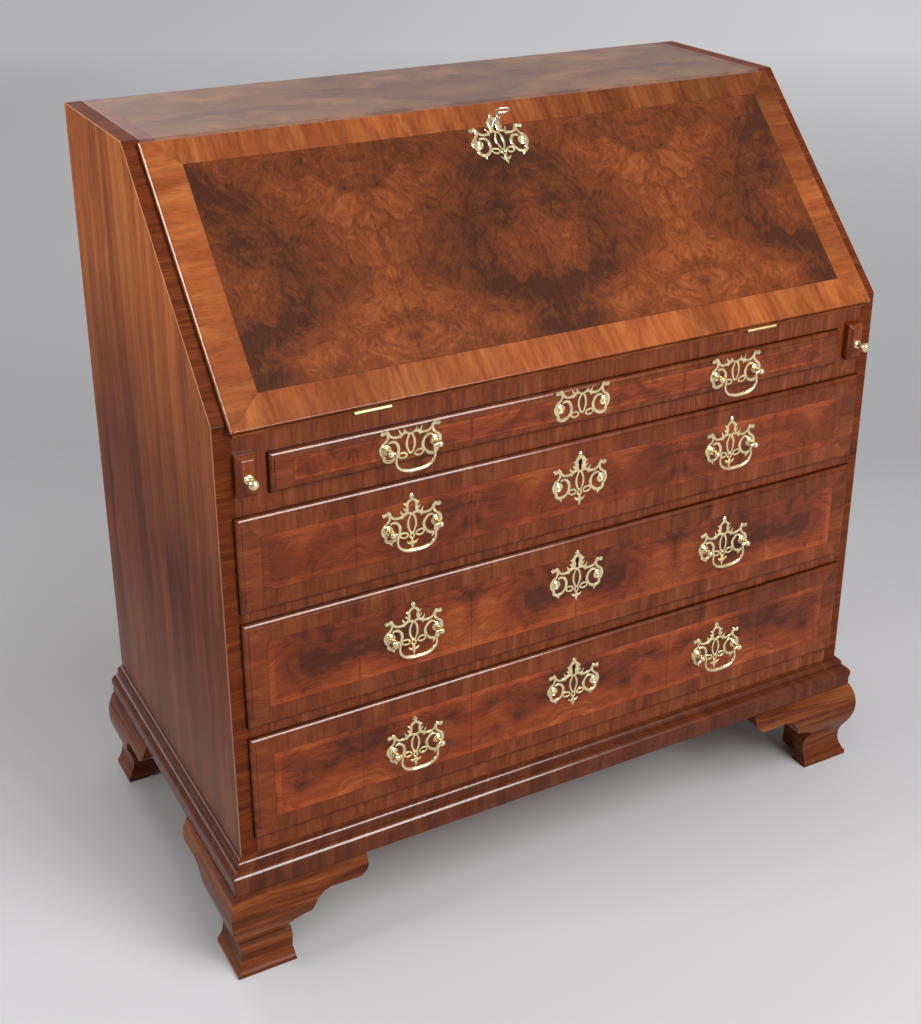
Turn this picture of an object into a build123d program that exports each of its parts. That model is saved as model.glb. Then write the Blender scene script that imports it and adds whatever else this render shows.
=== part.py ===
"""A walnut slant-front writing bureau on ogee bracket feet, in millimetres.

X runs along the front, Y from front to back and Z up from the floor. The origin is on the floor,
midway between the two sides and midway between the loper knobs' tips and the back.
"""

import math
import os

from build123d import *

os.makedirs("parts", exist_ok=True)

# Driving sizes of the case
case_width = 930
case_depth = 485
side_thickness = 22
top_thickness = 20
desk_thickness = 19
fall_rise = 274
back_thickness = 10
back_rebate = 10
back_plank_count = 4
plank_gap = 0.5
bottom_thickness = 20
slope_angle = 46
arris = 1.2

# Running and seating clearances, and how far a cut runs past the face that it opens
seat_gap = 0.3
slide_gap = 0.6
panel_gap = 1.0
overrun = 2

# Heights of the front, from the plinth up, with the rails between the drawer openings
bottom_rail_height = 70
lower_opening_height = 135
lower_rail = 22
middle_opening_height = 133
middle_rail = 21
upper_opening_height = 114
upper_rail = 30
top_opening_height = 42
rail_depth = 70
runner_width = 30
top_runner_width = 62
dust_board_thickness = 9
kicker_depth = 60
kicker_thickness = 8
plinth_rail_thickness = 20

# Lopers, which pull out to carry the open fall, and their knobs
loper_width = 25
partition_thickness = 18
loper_back_gap = 55
loper_reach = 13
loper_bevel = 5
loper_knob_length = 21
loper_knob_radius = 6.5
loper_knob_sink = 2
spigot_radius = 2
spigot_length = 12

# Fall
fall_thickness = 19
fall_proud = 8.4
fall_lip = 5
fall_top_reveal = 7
fall_edge_round = 5
hinge_gap = 1

# Fall hinges
hinge_spacing = 550
hinge_length = 46
leaf_width = 30
leaf_thickness = 2
knuckle_radius = 2.6
pin_radius = 1.2
pin_gap = 0.25
knuckle_gap = 0.4

# Fall lock and key
lock_width = 70
lock_height = 45
lock_thickness = 14
lock_axis_depth = 12
bolt_width = 30
bolt_height = 24
bolt_thickness = 4
bolt_sink = 0.8
bolt_slot_width = 14
bolt_bar = 6
bolt_travel = 9
bit_swing = 9.5
key_shank_radius = 2.5
key_length = 38
key_gap = 0.5
bow_width = 17
bow_height = 12
bow_wire = 3
keyhole_eye = 3.4
keyhole_width = 3.6
keyhole_drop = 9

# Drawers
lip_overlap = 4
lip_thickness = 8
field_raise = 1
field_inset = 6.5
thumb_round = 6
front_body_thickness = 14
drawer_back_gap = 35
drawer_side = 9
drawer_back = 8
drawer_bottom = 7
bottom_groove = 4
drawer_head_gap = 1.5
drawer_lock_width = 60
drawer_lock_height = 40
drawer_lock_thickness = 9

# Brasses
handle_spacing = 464
post_spacing = 62
plate_thickness = 1.4
keyhole_rise = 27
post_shank = 4
shank_gap = 0.3
collar_radius = 5
collar_height = 2.8
neck_radius = 2.4
ball_radius = 4.2
bail_reach = 13
bail_drop = 25.5
bail_end_radius = 1.3
bail_middle_radius = 2.3
bail_arris = 0.7
bail_pin_gap = 0.5
bail_pin_depth = 2.5
nut_radius = 5.5
nut_thickness = 3

# Heights of the handle posts above their openings' floors, and of the middle plates above the posts
lower_post_height = 62
lower_plate_raise = 13.8
middle_post_height = 68
middle_plate_raise = 9.8
upper_post_height = 59.5
upper_plate_raise = 1.5
top_post_height = 19
top_plate_raise = 2.7

# Desk interior
interior_clearance = 15.5
interior_wall = 6
upright_thickness = 8
pigeonhole_divider = 5
pigeonhole_count = 4
cupboard_width = 116
cupboard_height = 137
letter_drawer_height = 58
letter_drawer_side = 5
letter_drawer_front = 9
letter_drawer_bottom = 4
letter_drawer_back_gap = 18
arcade_thickness = 5
arcade_drop = 34
door_thickness = 15
door_frame = 24
door_panel_thickness = 6
door_panel_bevel = 9
door_field_raise = 4
door_gap = 0.8
door_hinge_height = 24
door_hinge_inset = 16
door_leaf_width = 5
door_leaf_thickness = 1
door_knuckle_radius = 1.8
door_pin_radius = 0.8
small_knob_radius = 6
small_knob_length = 13

# Base moulding and feet
plinth_height = 123
moulding_height = 43
moulding_reach = 17.5
foot_bulge = 26.5
foot_waist = 11.5
foot_toe = 20.5
toe_height = 6
bracket_reach = 158
bracket_back = 7
rear_bracket_reach = 110
rear_bracket_leg = 45
rear_bracket_thickness = 18
glue_block = 38
block_lift = 4

# Number of flats on small turned brass and wood
turning_sides = 8
brass_sides = 6
bow_sides = 12

# Places worked out from the driving sizes
half_width = case_width / 2
half_inner = half_width - side_thickness
front_reach = loper_reach + loper_knob_length
front = (front_reach - case_depth) / 2
back = front + case_depth
inner_back = back - back_thickness

bottom_opening_floor = plinth_height + bottom_rail_height
lower_rail_floor = bottom_opening_floor + lower_opening_height
middle_opening_floor = lower_rail_floor + lower_rail
middle_rail_floor = middle_opening_floor + middle_opening_height
upper_opening_floor = middle_rail_floor + middle_rail
upper_rail_floor = upper_opening_floor + upper_opening_height
top_opening_floor = upper_rail_floor + upper_rail
top_opening_head = top_opening_floor + top_opening_height
desk_under = top_opening_head + kicker_thickness
desk_height = desk_under + desk_thickness
case_height = desk_height + fall_rise
top_under = case_height - top_thickness
top_half_opening = half_inner - loper_width - partition_thickness
lip_face = front - seat_gap - lip_thickness
front_depth = lip_thickness + seat_gap + front_body_thickness

# The slope's own plane: x along the front, y up the slope, z out of the fall's face
slope_sin = math.sin(math.radians(slope_angle))
slope_cos = math.cos(math.radians(slope_angle))
fall_inset = fall_thickness - fall_proud
slope_start = desk_height + (fall_inset + hinge_gap * slope_sin) / slope_cos
slope_length = (case_height - slope_start) / slope_sin
slope = Plane(
    origin=(0, front, slope_start), x_dir=(1, 0, 0), z_dir=(0, -slope_sin, slope_cos)
)
hinge_y = front - hinge_gap
fall_foot = -hinge_gap * slope_cos - (slope_start - desk_height) * slope_sin
fall_body_top = (top_under - slope_start) / slope_sin - panel_gap
fall_lip_top = slope_length - fall_top_reveal
key_axis = fall_body_top - lock_axis_depth
bolt_floor = -bolt_sink - bolt_thickness


def facing(y):
    """The upright plane at depth y, seen from the front: x to the right, z up."""
    return Plane(origin=(0, y, 0), x_dir=(1, 0, 0), z_dir=(0, -1, 0))


def across(x, y, z):
    """The upright plane across the front at x, centred on y and z."""
    return Plane(origin=(x, y, z), x_dir=(0, 1, 0), z_dir=(1, 0, 0))


def on_slope(s, height):
    """The slope's plane moved up by s and raised by height."""
    return Plane(
        origin=slope.from_local_coords((0, s, height)), x_dir=slope.x_dir, z_dir=slope.z_dir
    )


def board(x, y, z):
    """One straight board between its low and high faces along each axis."""
    with BuildPart() as piece:
        with Locations(((x[0] + x[1]) / 2, (y[0] + y[1]) / 2, (z[0] + z[1]) / 2)):
            Box(x[1] - x[0], y[1] - y[0], z[1] - z[0])
    return piece.part


def slope_block(x, s, height):
    """A block in the slope's own directions, to add to the fall or to cut from it."""
    with BuildPart() as piece:
        with BuildSketch(on_slope((s[0] + s[1]) / 2, height[0])):
            with Locations(((x[0] + x[1]) / 2, 0)):
                Rectangle(x[1] - x[0], s[1] - s[0])
        extrude(amount=height[1] - height[0])
    return piece.part


def around(centre, half):
    """The low and high ends of a span about its centre."""
    return (centre - half, centre + half)


def mirrored(*pieces):
    """The same pieces on the other side of the bureau's middle."""
    twins = []
    for piece in pieces:
        with BuildPart() as twin:
            mirror(piece, about=Plane.YZ)
        twins.append(twin.part)
    return twins


def placed(piece, *places):
    """Copies of a piece at the given places, as separate solids."""
    with BuildPart() as copies:
        with Locations(*places):
            add(piece)
    return copies.part


def outline(shares, width, height):
    """An outline's points from its shares of a width and a height."""
    return [(x * width, z * height) for x, z in shares]


def symmetric(points):
    """A closed outline from its right half, which runs from the top to the bottom."""
    return points + [(-x, z) for x, z in reversed(points) if x > 0]


def turned(profile, sides):
    """A small turning along y, cut to the same outline from each pair of opposite sides.

    The profile holds (distance towards the front, radius) pairs.
    """
    cut_outline = symmetric([(radius, reach) for reach, radius in profile])
    widest = max(radius for reach, radius in profile)
    with BuildPart() as piece:
        for side in range(sides // 2):
            turn = 2 * math.pi * side / sides
            cut_plane = Plane(
                origin=(0, 0, 0),
                x_dir=(math.cos(turn), 0, math.sin(turn)),
                z_dir=(math.sin(turn), 0, -math.cos(turn)),
            )
            with BuildSketch(cut_plane):
                Polygon(*cut_outline, align=None)
            extrude(amount=2 * widest, both=True, mode=Mode.INTERSECT if side else Mode.ADD)
    return piece.part


def knob(length, radius, sides):
    """A turned mushroom knob with a small rose, standing on the plane y = 0."""
    shares = ((0, 0.9), (0.09, 0.9), (0.17, 0.42), (0.5, 0.4), (0.63, 0.9), (0.78, 1), (1, 0.45))
    return turned([(length * reach, radius * size) for reach, size in shares], sides)


def save(label, *pieces):
    """Write one node: a single piece, or a group of separate pieces."""
    node = pieces[0] if len(pieces) == 1 else Compound(children=list(pieces))
    node.label = label
    export_step(node, f"parts/{label}.step")


# Case sides: solid boards with the upper front cut to the slope, rebated for the back boards
with BuildPart() as side_right:
    with BuildSketch(Plane.YZ.offset(half_inner)):
        with BuildLine():
            Polyline(
                (front, plinth_height),
                (front, slope_start),
                (front + slope_length * slope_cos, case_height),
                (back, case_height),
                (back, plinth_height),
                close=True,
            )
        make_face()
    extrude(amount=side_thickness)
    front_arris = side_right.edges().filter_by(Axis.Z).group_by(Axis.X)[-1].sort_by(Axis.Y)[0]
    chamfer(front_arris, arris)
    add(
        board(
            (half_inner - overrun, half_inner + back_rebate),
            (inner_back, back + overrun),
            (plinth_height - overrun, top_under),
        ),
        mode=Mode.SUBTRACT,
    )
save("side_right", side_right.part)
save("side_left", *mirrored(side_right.part))

# Top board, between the sides, its front edge cut to the slope and notched for the lock's bolt
with BuildPart() as top_board:
    with BuildSketch(Plane.YZ.offset(-half_inner)):
        with BuildLine():
            Polyline(
                (front + (top_under - slope_start) * slope_cos / slope_sin, top_under),
                (front + slope_length * slope_cos, case_height),
                (back, case_height),
                (back, top_under),
                close=True,
            )
        make_face()
    extrude(amount=2 * half_inner)
    add(
        slope_block(
            around(0, bolt_width / 2 + panel_gap),
            (fall_body_top - overrun, fall_body_top + bolt_travel + overrun),
            (bolt_floor - panel_gap, bolt_floor + bolt_thickness + overrun),
        ),
        mode=Mode.SUBTRACT,
    )
save("top_board", top_board.part)

# Boards between the sides: bottom board, plinth rail and the kicker rail over the top drawer
bottom_span = (bottom_opening_floor - bottom_thickness, bottom_opening_floor)
plinth_back = front + plinth_rail_thickness
save("bottom_board", board(around(0, half_inner), (plinth_back, inner_back), bottom_span))
save(
    "bottom_rail",
    board(around(0, half_inner), (front, plinth_back), (plinth_height, bottom_opening_floor)),
)
save(
    "top_rail",
    board(
        around(0, top_half_opening), (front, front + kicker_depth), (top_opening_head, desk_under)
    ),
)

# Back boards: upright planks in the sides' rebates, each a little apart from the next
plank_pitch = 2 * (half_inner + back_rebate) / back_plank_count
back_boards = []
for plank in range(back_plank_count):
    plank_start = -half_inner - back_rebate + plank * plank_pitch
    plank_face = plank_start + (plank_gap if plank else 0)
    back_boards.append(
        board(
            (plank_face, plank_start + plank_pitch), (inner_back, back), (plinth_height, top_under)
        )
    )
save("back_boards", *back_boards)

# Desk board, let in along its front edge for the two hinges
hinge_places = around(0, hinge_spacing / 2)
knuckle_room = knuckle_radius + knuckle_gap
with BuildPart() as desk_board:
    add(board(around(0, half_inner), (front, inner_back), (desk_under, desk_height)))
    for x in hinge_places:
        hinge_span = around(x, hinge_length / 2 + seat_gap)
        leaf_span = (front - overrun, hinge_y + leaf_width + seat_gap)
        knuckle_span = (front - overrun, hinge_y + knuckle_room)
        leaf_cut = (desk_height - leaf_thickness, desk_height + overrun)
        knuckle_cut = (desk_height - knuckle_room, desk_height + overrun)
        add(board(hinge_span, leaf_span, leaf_cut), mode=Mode.SUBTRACT)
        add(board(hinge_span, knuckle_span, knuckle_cut), mode=Mode.SUBTRACT)
save("desk_board", desk_board.part)


# Dividers between the drawers
def divider(floor, height, runner):
    """A front rail with its two drawer runners and the thin dust board between them."""
    rail_back = front + rail_depth
    level = (floor, floor + height)
    dust_level = around(floor + height / 2, dust_board_thickness / 2)
    return [
        board(around(0, half_inner), (front, rail_back), level),
        board((-half_inner, -half_inner + runner), (rail_back, inner_back), level),
        board((half_inner - runner, half_inner), (rail_back, inner_back), level),
        board(around(0, half_inner - runner), (rail_back, inner_back), dust_level),
    ]


save("divider_lower", *divider(lower_rail_floor, lower_rail, runner_width))
save("divider_middle", *divider(middle_rail_floor, middle_rail, runner_width))
save("divider_upper", *divider(upper_rail_floor, upper_rail, top_runner_width))

# Partitions between the top drawer and the lopers
partition = board(
    (top_half_opening, top_half_opening + partition_thickness),
    (front, inner_back),
    (top_opening_floor, desk_under),
)
save("loper_partitions", partition, *mirrored(partition))

# Base moulding: an ovolo and a fillet over a torus, then a plain fascia.
# Each point is a share of the moulding's reach and of its height above the plinth.
ledge_shares = ((0, 1), (0.1, 1), (0.1, 0.95))
ovolo_shares = ((0.1, 0.95), (0.34, 0.9), (0.42, 0.76))
fillet_shares = ((0.42, 0.76), (0.42, 0.71), (0.53, 0.71), (0.53, 0.67))
torus_shares = ((0.53, 0.67), (0.9, 0.58), (1, 0.4))
fascia_shares = ((1, 0.4), (1, 0.33), (0.94, 0.31), (0.94, 0), (0, 0), (0, 1))
moulding_end = half_width + moulding_reach


def moulding_length(start, length, plan):
    """A length of base moulding along the start plane's normal, cut off to its plan outline."""
    with BuildPart() as piece:
        with BuildSketch(start):
            with BuildLine():
                Polyline(*outline(ledge_shares, moulding_reach, moulding_height))
                ThreePointArc(*outline(ovolo_shares, moulding_reach, moulding_height))
                Polyline(*outline(fillet_shares, moulding_reach, moulding_height))
                ThreePointArc(*outline(torus_shares, moulding_reach, moulding_height))
                Polyline(*outline(fascia_shares, moulding_reach, moulding_height))
            make_face()
        extrude(amount=length)
        with BuildSketch(Plane.XY.offset(plinth_height)):
            with BuildLine():
                Polyline(*plan, close=True)
            make_face()
        extrude(amount=moulding_height, mode=Mode.INTERSECT)
    return piece.part


corner = (half_width, front)
mitre = (moulding_end, front - moulding_reach)
base_moulding_front = moulding_length(
    Plane(origin=(moulding_end, front, plinth_height), x_dir=(0, -1, 0), z_dir=(-1, 0, 0)),
    2 * moulding_end,
    symmetric([corner, mitre]),
)
base_moulding_right = moulding_length(
    Plane(origin=(half_width, back, plinth_height), x_dir=(1, 0, 0), z_dir=(0, -1, 0)),
    case_depth + moulding_reach,
    (corner, mitre, (moulding_end, back), (half_width, back)),
)
save("base_moulding_front", base_moulding_front)
save("base_moulding_right", base_moulding_right)
save("base_moulding_left", *mirrored(base_moulding_right))

# Ogee bracket feet. The shaped lower edge is given as shares of a bracket's reach and height.
nose_shares = ((1, 0.9), (0.97, 0.83), (0.88, 0.79))
hollow_shares = ((0.69, 0.8), (0.585, 0.755), (0.525, 0.64))
cusp_shares = ((0.5, 0.575), (0.41, 0.55), (0.31, 0.48))
leg_shares = ((0.31, 0.48), (0.345, 0.36), (0.345, 0.15))
toe_shares = ((0.345, 0.15), (0.36, 0))
bulge_share = 0.74
neck_share = 0.44
waist_share = 0.27


def ogee_bracket(mitred):
    """A bracket that faces the front and runs along +X from the case's corner at the origin."""
    bulge_level = plinth_height * bulge_share
    neck_level = plinth_height * neck_share
    waist_level = plinth_height * waist_share
    nose = outline(nose_shares, bracket_reach, plinth_height)
    hollow = outline(hollow_shares, bracket_reach, plinth_height)
    cusp = outline(cusp_shares, bracket_reach, plinth_height)
    leg = outline(leg_shares, bracket_reach, plinth_height)
    toe = outline(toe_shares, bracket_reach, plinth_height)
    top = [(-foot_bulge, plinth_height), (bracket_reach, plinth_height)]
    with BuildPart() as bracket:
        with BuildSketch(Plane.YZ.offset(-foot_bulge)):
            with BuildLine():
                ThreePointArc(
                    (-moulding_reach, plinth_height),
                    (-foot_bulge, bulge_level),
                    (-moulding_reach, neck_level),
                )
                ThreePointArc(
                    (-moulding_reach, neck_level),
                    (-foot_waist, waist_level),
                    (-foot_toe, toe_height),
                )
                Polyline(
                    (-foot_toe, toe_height),
                    (-foot_toe, 0),
                    (bracket_back, 0),
                    (bracket_back, plinth_height),
                    (-moulding_reach, plinth_height),
                )
            make_face()
        extrude(amount=foot_bulge + bracket_reach)
        with BuildSketch(Plane.XZ):
            with BuildLine():
                Polyline(*top, nose[0])
                ThreePointArc(*nose)
                Line(nose[-1], hollow[0])
                ThreePointArc(*hollow)
                Line(hollow[-1], cusp[0])
                ThreePointArc(*cusp)
                ThreePointArc(*leg)
                Polyline(*toe, (-foot_bulge, 0), top[0])
            make_face()
        extrude(amount=foot_bulge + bracket_back, both=True, mode=Mode.INTERSECT)
        with BuildSketch(Plane.XY):
            with BuildLine():
                Polyline(
                    (bracket_back if mitred else 0, bracket_back),
                    (bracket_reach, bracket_back),
                    (bracket_reach, -foot_bulge),
                    (-foot_bulge if mitred else 0, -foot_bulge),
                    close=True,
                )
            make_face()
        extrude(amount=plinth_height, mode=Mode.INTERSECT)
    return bracket.part


# Front foot: two mitred brackets with a glue block in their corner
front_bracket = ogee_bracket(True)
with BuildPart() as return_bracket:
    mirror(front_bracket, about=Plane(origin=(0, 0, 0), z_dir=(1, -1, 0)))
front_foot = [
    placed(front_bracket, (-half_width, front)),
    placed(return_bracket.part, (-half_width, front)),
    board(
        (-half_width + bracket_back, -half_width + bracket_back + glue_block),
        (front + bracket_back, front + bracket_back + glue_block),
        (block_lift, plinth_height),
    ),
]
save("foot_front_left", *front_foot)
save("foot_front_right", *mirrored(*front_foot))

# Rear foot: one ogee bracket on the side, a plain shaped bracket across the back, a glue block
rear_start = -half_width + bracket_back
rear_end = rear_start + rear_bracket_reach
rear_leg = rear_start + rear_bracket_leg
rear_face = back - rear_bracket_thickness
rear_nose_share = 0.8
rear_bend_shares = (0.55, 0.68)
rear_leg_share = 0.35
rear_nose_level = plinth_height * rear_nose_share
rear_bend = (
    rear_start + rear_bracket_reach * rear_bend_shares[0],
    plinth_height * rear_bend_shares[1],
)
rear_leg_level = plinth_height * rear_leg_share
with BuildPart() as rear_back_bracket:
    with BuildSketch(facing(back)):
        with BuildLine():
            ThreePointArc((rear_end, rear_nose_level), rear_bend, (rear_leg, rear_leg_level))
            Polyline(
                (rear_leg, rear_leg_level),
                (rear_leg, 0),
                (rear_start, 0),
                (rear_start, plinth_height),
                (rear_end, plinth_height),
                (rear_end, rear_nose_level),
            )
        make_face()
    extrude(amount=rear_bracket_thickness)
rear_foot = [
    placed(ogee_bracket(False), Location((-half_width, back, 0), (0, 0, -90))),
    rear_back_bracket.part,
    board(
        (rear_start, rear_start + glue_block),
        (rear_face - glue_block, rear_face),
        (block_lift, plinth_height),
    ),
]
save("foot_rear_left", *rear_foot)
save("foot_rear_right", *mirrored(*rear_foot))


def keyhole(mode=Mode.ADD):
    """A keyhole in the open sketch: a round eye over a narrower slot."""
    RegularPolygon(keyhole_eye, turning_sides, mode=mode)
    with Locations((0, -keyhole_drop / 2)):
        Rectangle(keyhole_width, keyhole_drop, mode=mode)


# Fall: a thick panel between the sides, with a lip over the slope's edges
inner_face = -fall_inset
lock_face = inner_face + lock_thickness
lock_span = (fall_body_top - lock_height, fall_body_top)
with BuildPart() as fall_front:
    add(
        slope_block(
            around(0, half_inner - slide_gap), (fall_foot, fall_body_top), (inner_face, fall_proud)
        )
    )
    add(
        slope_block(
            around(0, half_inner + fall_lip), (fall_foot, fall_lip_top), (seat_gap, fall_proud)
        )
    )
    outer_rim = fall_front.faces().sort_by(Axis(slope.origin, slope.z_dir))[-1].edges()
    fillet(outer_rim.sort_by(Axis(slope.origin, slope.y_dir))[1:], fall_edge_round)
    add(
        slope_block(
            around(0, lock_width / 2),
            (lock_span[0], lock_span[1] + overrun),
            (inner_face - overrun, lock_face),
        ),
        mode=Mode.SUBTRACT,
    )
    with BuildSketch(on_slope(key_axis, fall_proud)):
        keyhole()
    extrude(amount=-fall_thickness, mode=Mode.SUBTRACT)
    for x in hinge_places:
        hinge_span = around(x, hinge_length / 2 + seat_gap)
        leaf_span = (fall_foot - overrun, fall_foot + leaf_width + seat_gap)
        knuckle_span = (fall_foot - overrun, fall_foot + knuckle_room)
        leaf_cut = (inner_face - overrun, inner_face + leaf_thickness)
        knuckle_cut = (inner_face - overrun, inner_face + knuckle_room)
        add(slope_block(hinge_span, leaf_span, leaf_cut), mode=Mode.SUBTRACT)
        add(slope_block(hinge_span, knuckle_span, knuckle_cut), mode=Mode.SUBTRACT)
save("fall_front", fall_front.part)


# Fall hinges: the knuckles' axis is where the desk's top meets the fall's inner face
def knuckle(x):
    """A hinge knuckle over the span x."""
    with BuildPart() as piece:
        with BuildSketch(across(x[0], hinge_y, desk_height)):
            RegularPolygon(knuckle_radius, turning_sides)
        extrude(amount=x[1] - x[0])
    return piece.part


middle_half = hinge_length / 6


def desk_leaf(x):
    """The leaf on the desk board, with the two outer knuckles and the pin between them."""
    outer_start = middle_half + knuckle_gap
    leaf_low = desk_height - leaf_thickness
    with BuildPart() as leaf:
        add(
            board(
                around(x, hinge_length / 2), (hinge_y, hinge_y + leaf_width), (leaf_low, desk_height)
            )
        )
        add(
            board(
                around(x, outer_start),
                (hinge_y - overrun, hinge_y + knuckle_room),
                (leaf_low - overrun, desk_height + overrun),
            ),
            mode=Mode.SUBTRACT,
        )
        add(knuckle((x - hinge_length / 2, x - outer_start)))
        add(knuckle((x + outer_start, x + hinge_length / 2)))
        with BuildSketch(across(x - outer_start - overrun, hinge_y, desk_height)):
            Circle(pin_radius)
        extrude(amount=2 * (outer_start + overrun))
    return leaf.part


def fall_leaf(x):
    """The leaf on the fall's inner face, with the middle knuckle."""
    knuckle_span = (fall_foot - overrun, fall_foot + knuckle_room)
    knuckle_cut = (inner_face - overrun, inner_face + knuckle_room)
    with BuildPart() as leaf:
        add(
            slope_block(
                around(x, hinge_length / 2),
                (fall_foot, fall_foot + leaf_width),
                (inner_face, inner_face + leaf_thickness),
            )
        )
        for side in (-1, 1):
            notch = around(x + side * (middle_half + hinge_length / 2), hinge_length / 2)
            add(slope_block(notch, knuckle_span, knuckle_cut), mode=Mode.SUBTRACT)
        add(knuckle(around(x, middle_half)))
        with BuildSketch(across(x - middle_half, hinge_y, desk_height)):
            RegularPolygon(pin_radius + pin_gap, turning_sides)
        extrude(amount=2 * middle_half, mode=Mode.SUBTRACT)
    return leaf.part


save("hinge_desk_leaves", *[desk_leaf(x) for x in hinge_places])
save("hinge_fall_leaves", *[fall_leaf(x) for x in hinge_places])

# Fall lock: a case with a slot for the bolt and, behind it, a round room for the key's bit
bit_floor = inner_face + panel_gap
bit_head = bolt_floor - panel_gap
bolt_span = (fall_body_top - bolt_height, fall_body_top)
bolt_level = (bolt_floor, bolt_floor + bolt_thickness)
with BuildPart() as fall_lock_case:
    add(slope_block(around(0, lock_width / 2), lock_span, (inner_face, lock_face)))
    add(
        slope_block(
            around(0, bolt_width / 2 + seat_gap),
            (bolt_span[0] - seat_gap, bolt_span[1] + overrun),
            (bolt_level[0] - seat_gap, bolt_level[1] + seat_gap),
        ),
        mode=Mode.SUBTRACT,
    )
    with BuildSketch(on_slope(key_axis, bit_floor)):
        RegularPolygon(bit_swing + seat_gap, 2 * turning_sides)
    extrude(amount=bit_head - bit_floor, mode=Mode.SUBTRACT)
    with BuildSketch(on_slope(key_axis, bit_floor)):
        RegularPolygon(key_shank_radius + key_gap, turning_sides)
    extrude(amount=lock_thickness, mode=Mode.SUBTRACT)
save("fall_lock_case", fall_lock_case.part)

with BuildPart() as fall_lock_bolt:
    add(slope_block(around(0, bolt_width / 2), bolt_span, bolt_level))
    add(
        slope_block(
            around(0, bolt_slot_width / 2),
            (bolt_span[0] - overrun, bolt_span[1] - bolt_bar),
            (bolt_level[0] - overrun, bolt_level[1] + overrun),
        ),
        mode=Mode.SUBTRACT,
    )
save("fall_lock_bolt", fall_lock_bolt.part)


def oval(width, height):
    """The corners of a many-sided oval."""
    turns = [2 * math.pi * corner / bow_sides for corner in range(bow_sides)]
    return [(width / 2 * math.cos(turn), height / 2 * math.sin(turn)) for turn in turns]


# Key: a round shank with its bit in the lock and an oval bow outside the fall
bow_level = fall_proud + key_length - bow_height / 2
shank_floor = bit_floor + seat_gap
with BuildPart() as fall_key:
    with BuildSketch(on_slope(key_axis, shank_floor)):
        Circle(key_shank_radius)
    extrude(amount=bow_level - bow_height / 2 + bow_wire / 2 - shank_floor)
    add(
        slope_block(
            around(0, key_shank_radius / 2),
            (key_axis - bit_swing + seat_gap, key_axis),
            (shank_floor, bit_head - seat_gap),
        )
    )
    with BuildSketch(
        Plane(
            origin=slope.from_local_coords((0, key_axis, bow_level)),
            x_dir=slope.x_dir,
            z_dir=-slope.y_dir,
        )
    ):
        Polygon(*oval(bow_width, bow_height), align=None)
        hollow = oval(bow_width - 2 * bow_wire, bow_height - 2 * bow_wire)
        Polygon(*hollow, align=None, mode=Mode.SUBTRACT)
    extrude(amount=bow_wire / 2, both=True)
save("fall_key", fall_key.part)

# Pierced brass plates. An outline is its right half, as shares of half the post spacing.
plate_unit = post_spacing / 2
crest_shares = [
    (0, 1.5), (0.11, 1.42), (0.07, 1.28), (0.37, 0.92), (0.27, 0.82), (0.3, 0.6), (0.46, 0.74),
    (0.46, 0.52),
]
plain_top_shares = [(0, 0.5), (0.28, 0.56), (0.46, 0.52)]
wing_shares = [
    (0.92, 0.56), (1.07, 0.82), (1.29, 0.7), (1.14, 0.46), (1.27, 0.06), (1.13, -0.3),
    (1.14, -0.5), (0.9, -0.71), (0.8, -0.52), (0.57, -0.36), (0.4, -0.5), (0.18, -0.47),
]
tail_shares = [(0.09, -0.62), (0.26, -0.7), (0.1, -0.82), (0, -1.02)]
plain_tail_shares = [(0, -0.62)]
oval_shares = [(0, 0.38), (0.13, 0.08), (0, -0.24)]
lozenge_shares = [(0, -0.34), (0.06, -0.44), (0, -0.54)]
arch_shares = [(0, 1.06), (0.13, 0.84), (0.14, 0.6)]
void_shares = [(0.18, 0.36), (0.85, 0.42), (0.53, 0.21), (0.44, -0.14), (0.24, -0.22)]
crescent_shares = [(0.88, 0.27), (0.66, 0.18), (0.57, -0.06), (0.68, -0.36), (0.77, -0.06)]
loop_shares = [(0.23, -0.36), (0.35, -0.29), (0.46, -0.33), (0.36, -0.41)]


def pierced_plate(plane, crested, for_lock):
    """A pierced rococo plate standing out of its plane, centred between its two bosses."""
    top = crest_shares if crested else plain_top_shares
    tail = tail_shares if crested else plain_tail_shares
    middle_holes = [oval_shares, lozenge_shares]
    if crested and not for_lock:
        middle_holes.append(arch_shares)
    with BuildPart() as plate:
        with BuildSketch(plane):
            edge = outline(top + wing_shares + tail, plate_unit, plate_unit)
            Polygon(*symmetric(edge), align=None)
            for shares in middle_holes:
                hole = symmetric(outline(shares, plate_unit, plate_unit))
                Polygon(*hole, align=None, mode=Mode.SUBTRACT)
            for shares in (void_shares, crescent_shares, loop_shares):
                for side in (-1, 1):
                    hole = outline(shares, side * plate_unit, plate_unit)
                    Polygon(*hole, align=None, mode=Mode.SUBTRACT)
            if crested and for_lock:
                with Locations((0, keyhole_rise)):
                    keyhole(Mode.SUBTRACT)
            if not for_lock:
                with Locations((-plate_unit, 0), (plate_unit, 0)):
                    Rectangle(post_shank + shank_gap, post_shank + shank_gap, mode=Mode.SUBTRACT)
        extrude(amount=plate_thickness)
    return plate.part


save("fall_escutcheon", pierced_plate(on_slope(key_axis - keyhole_rise, fall_proud), True, True))

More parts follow.
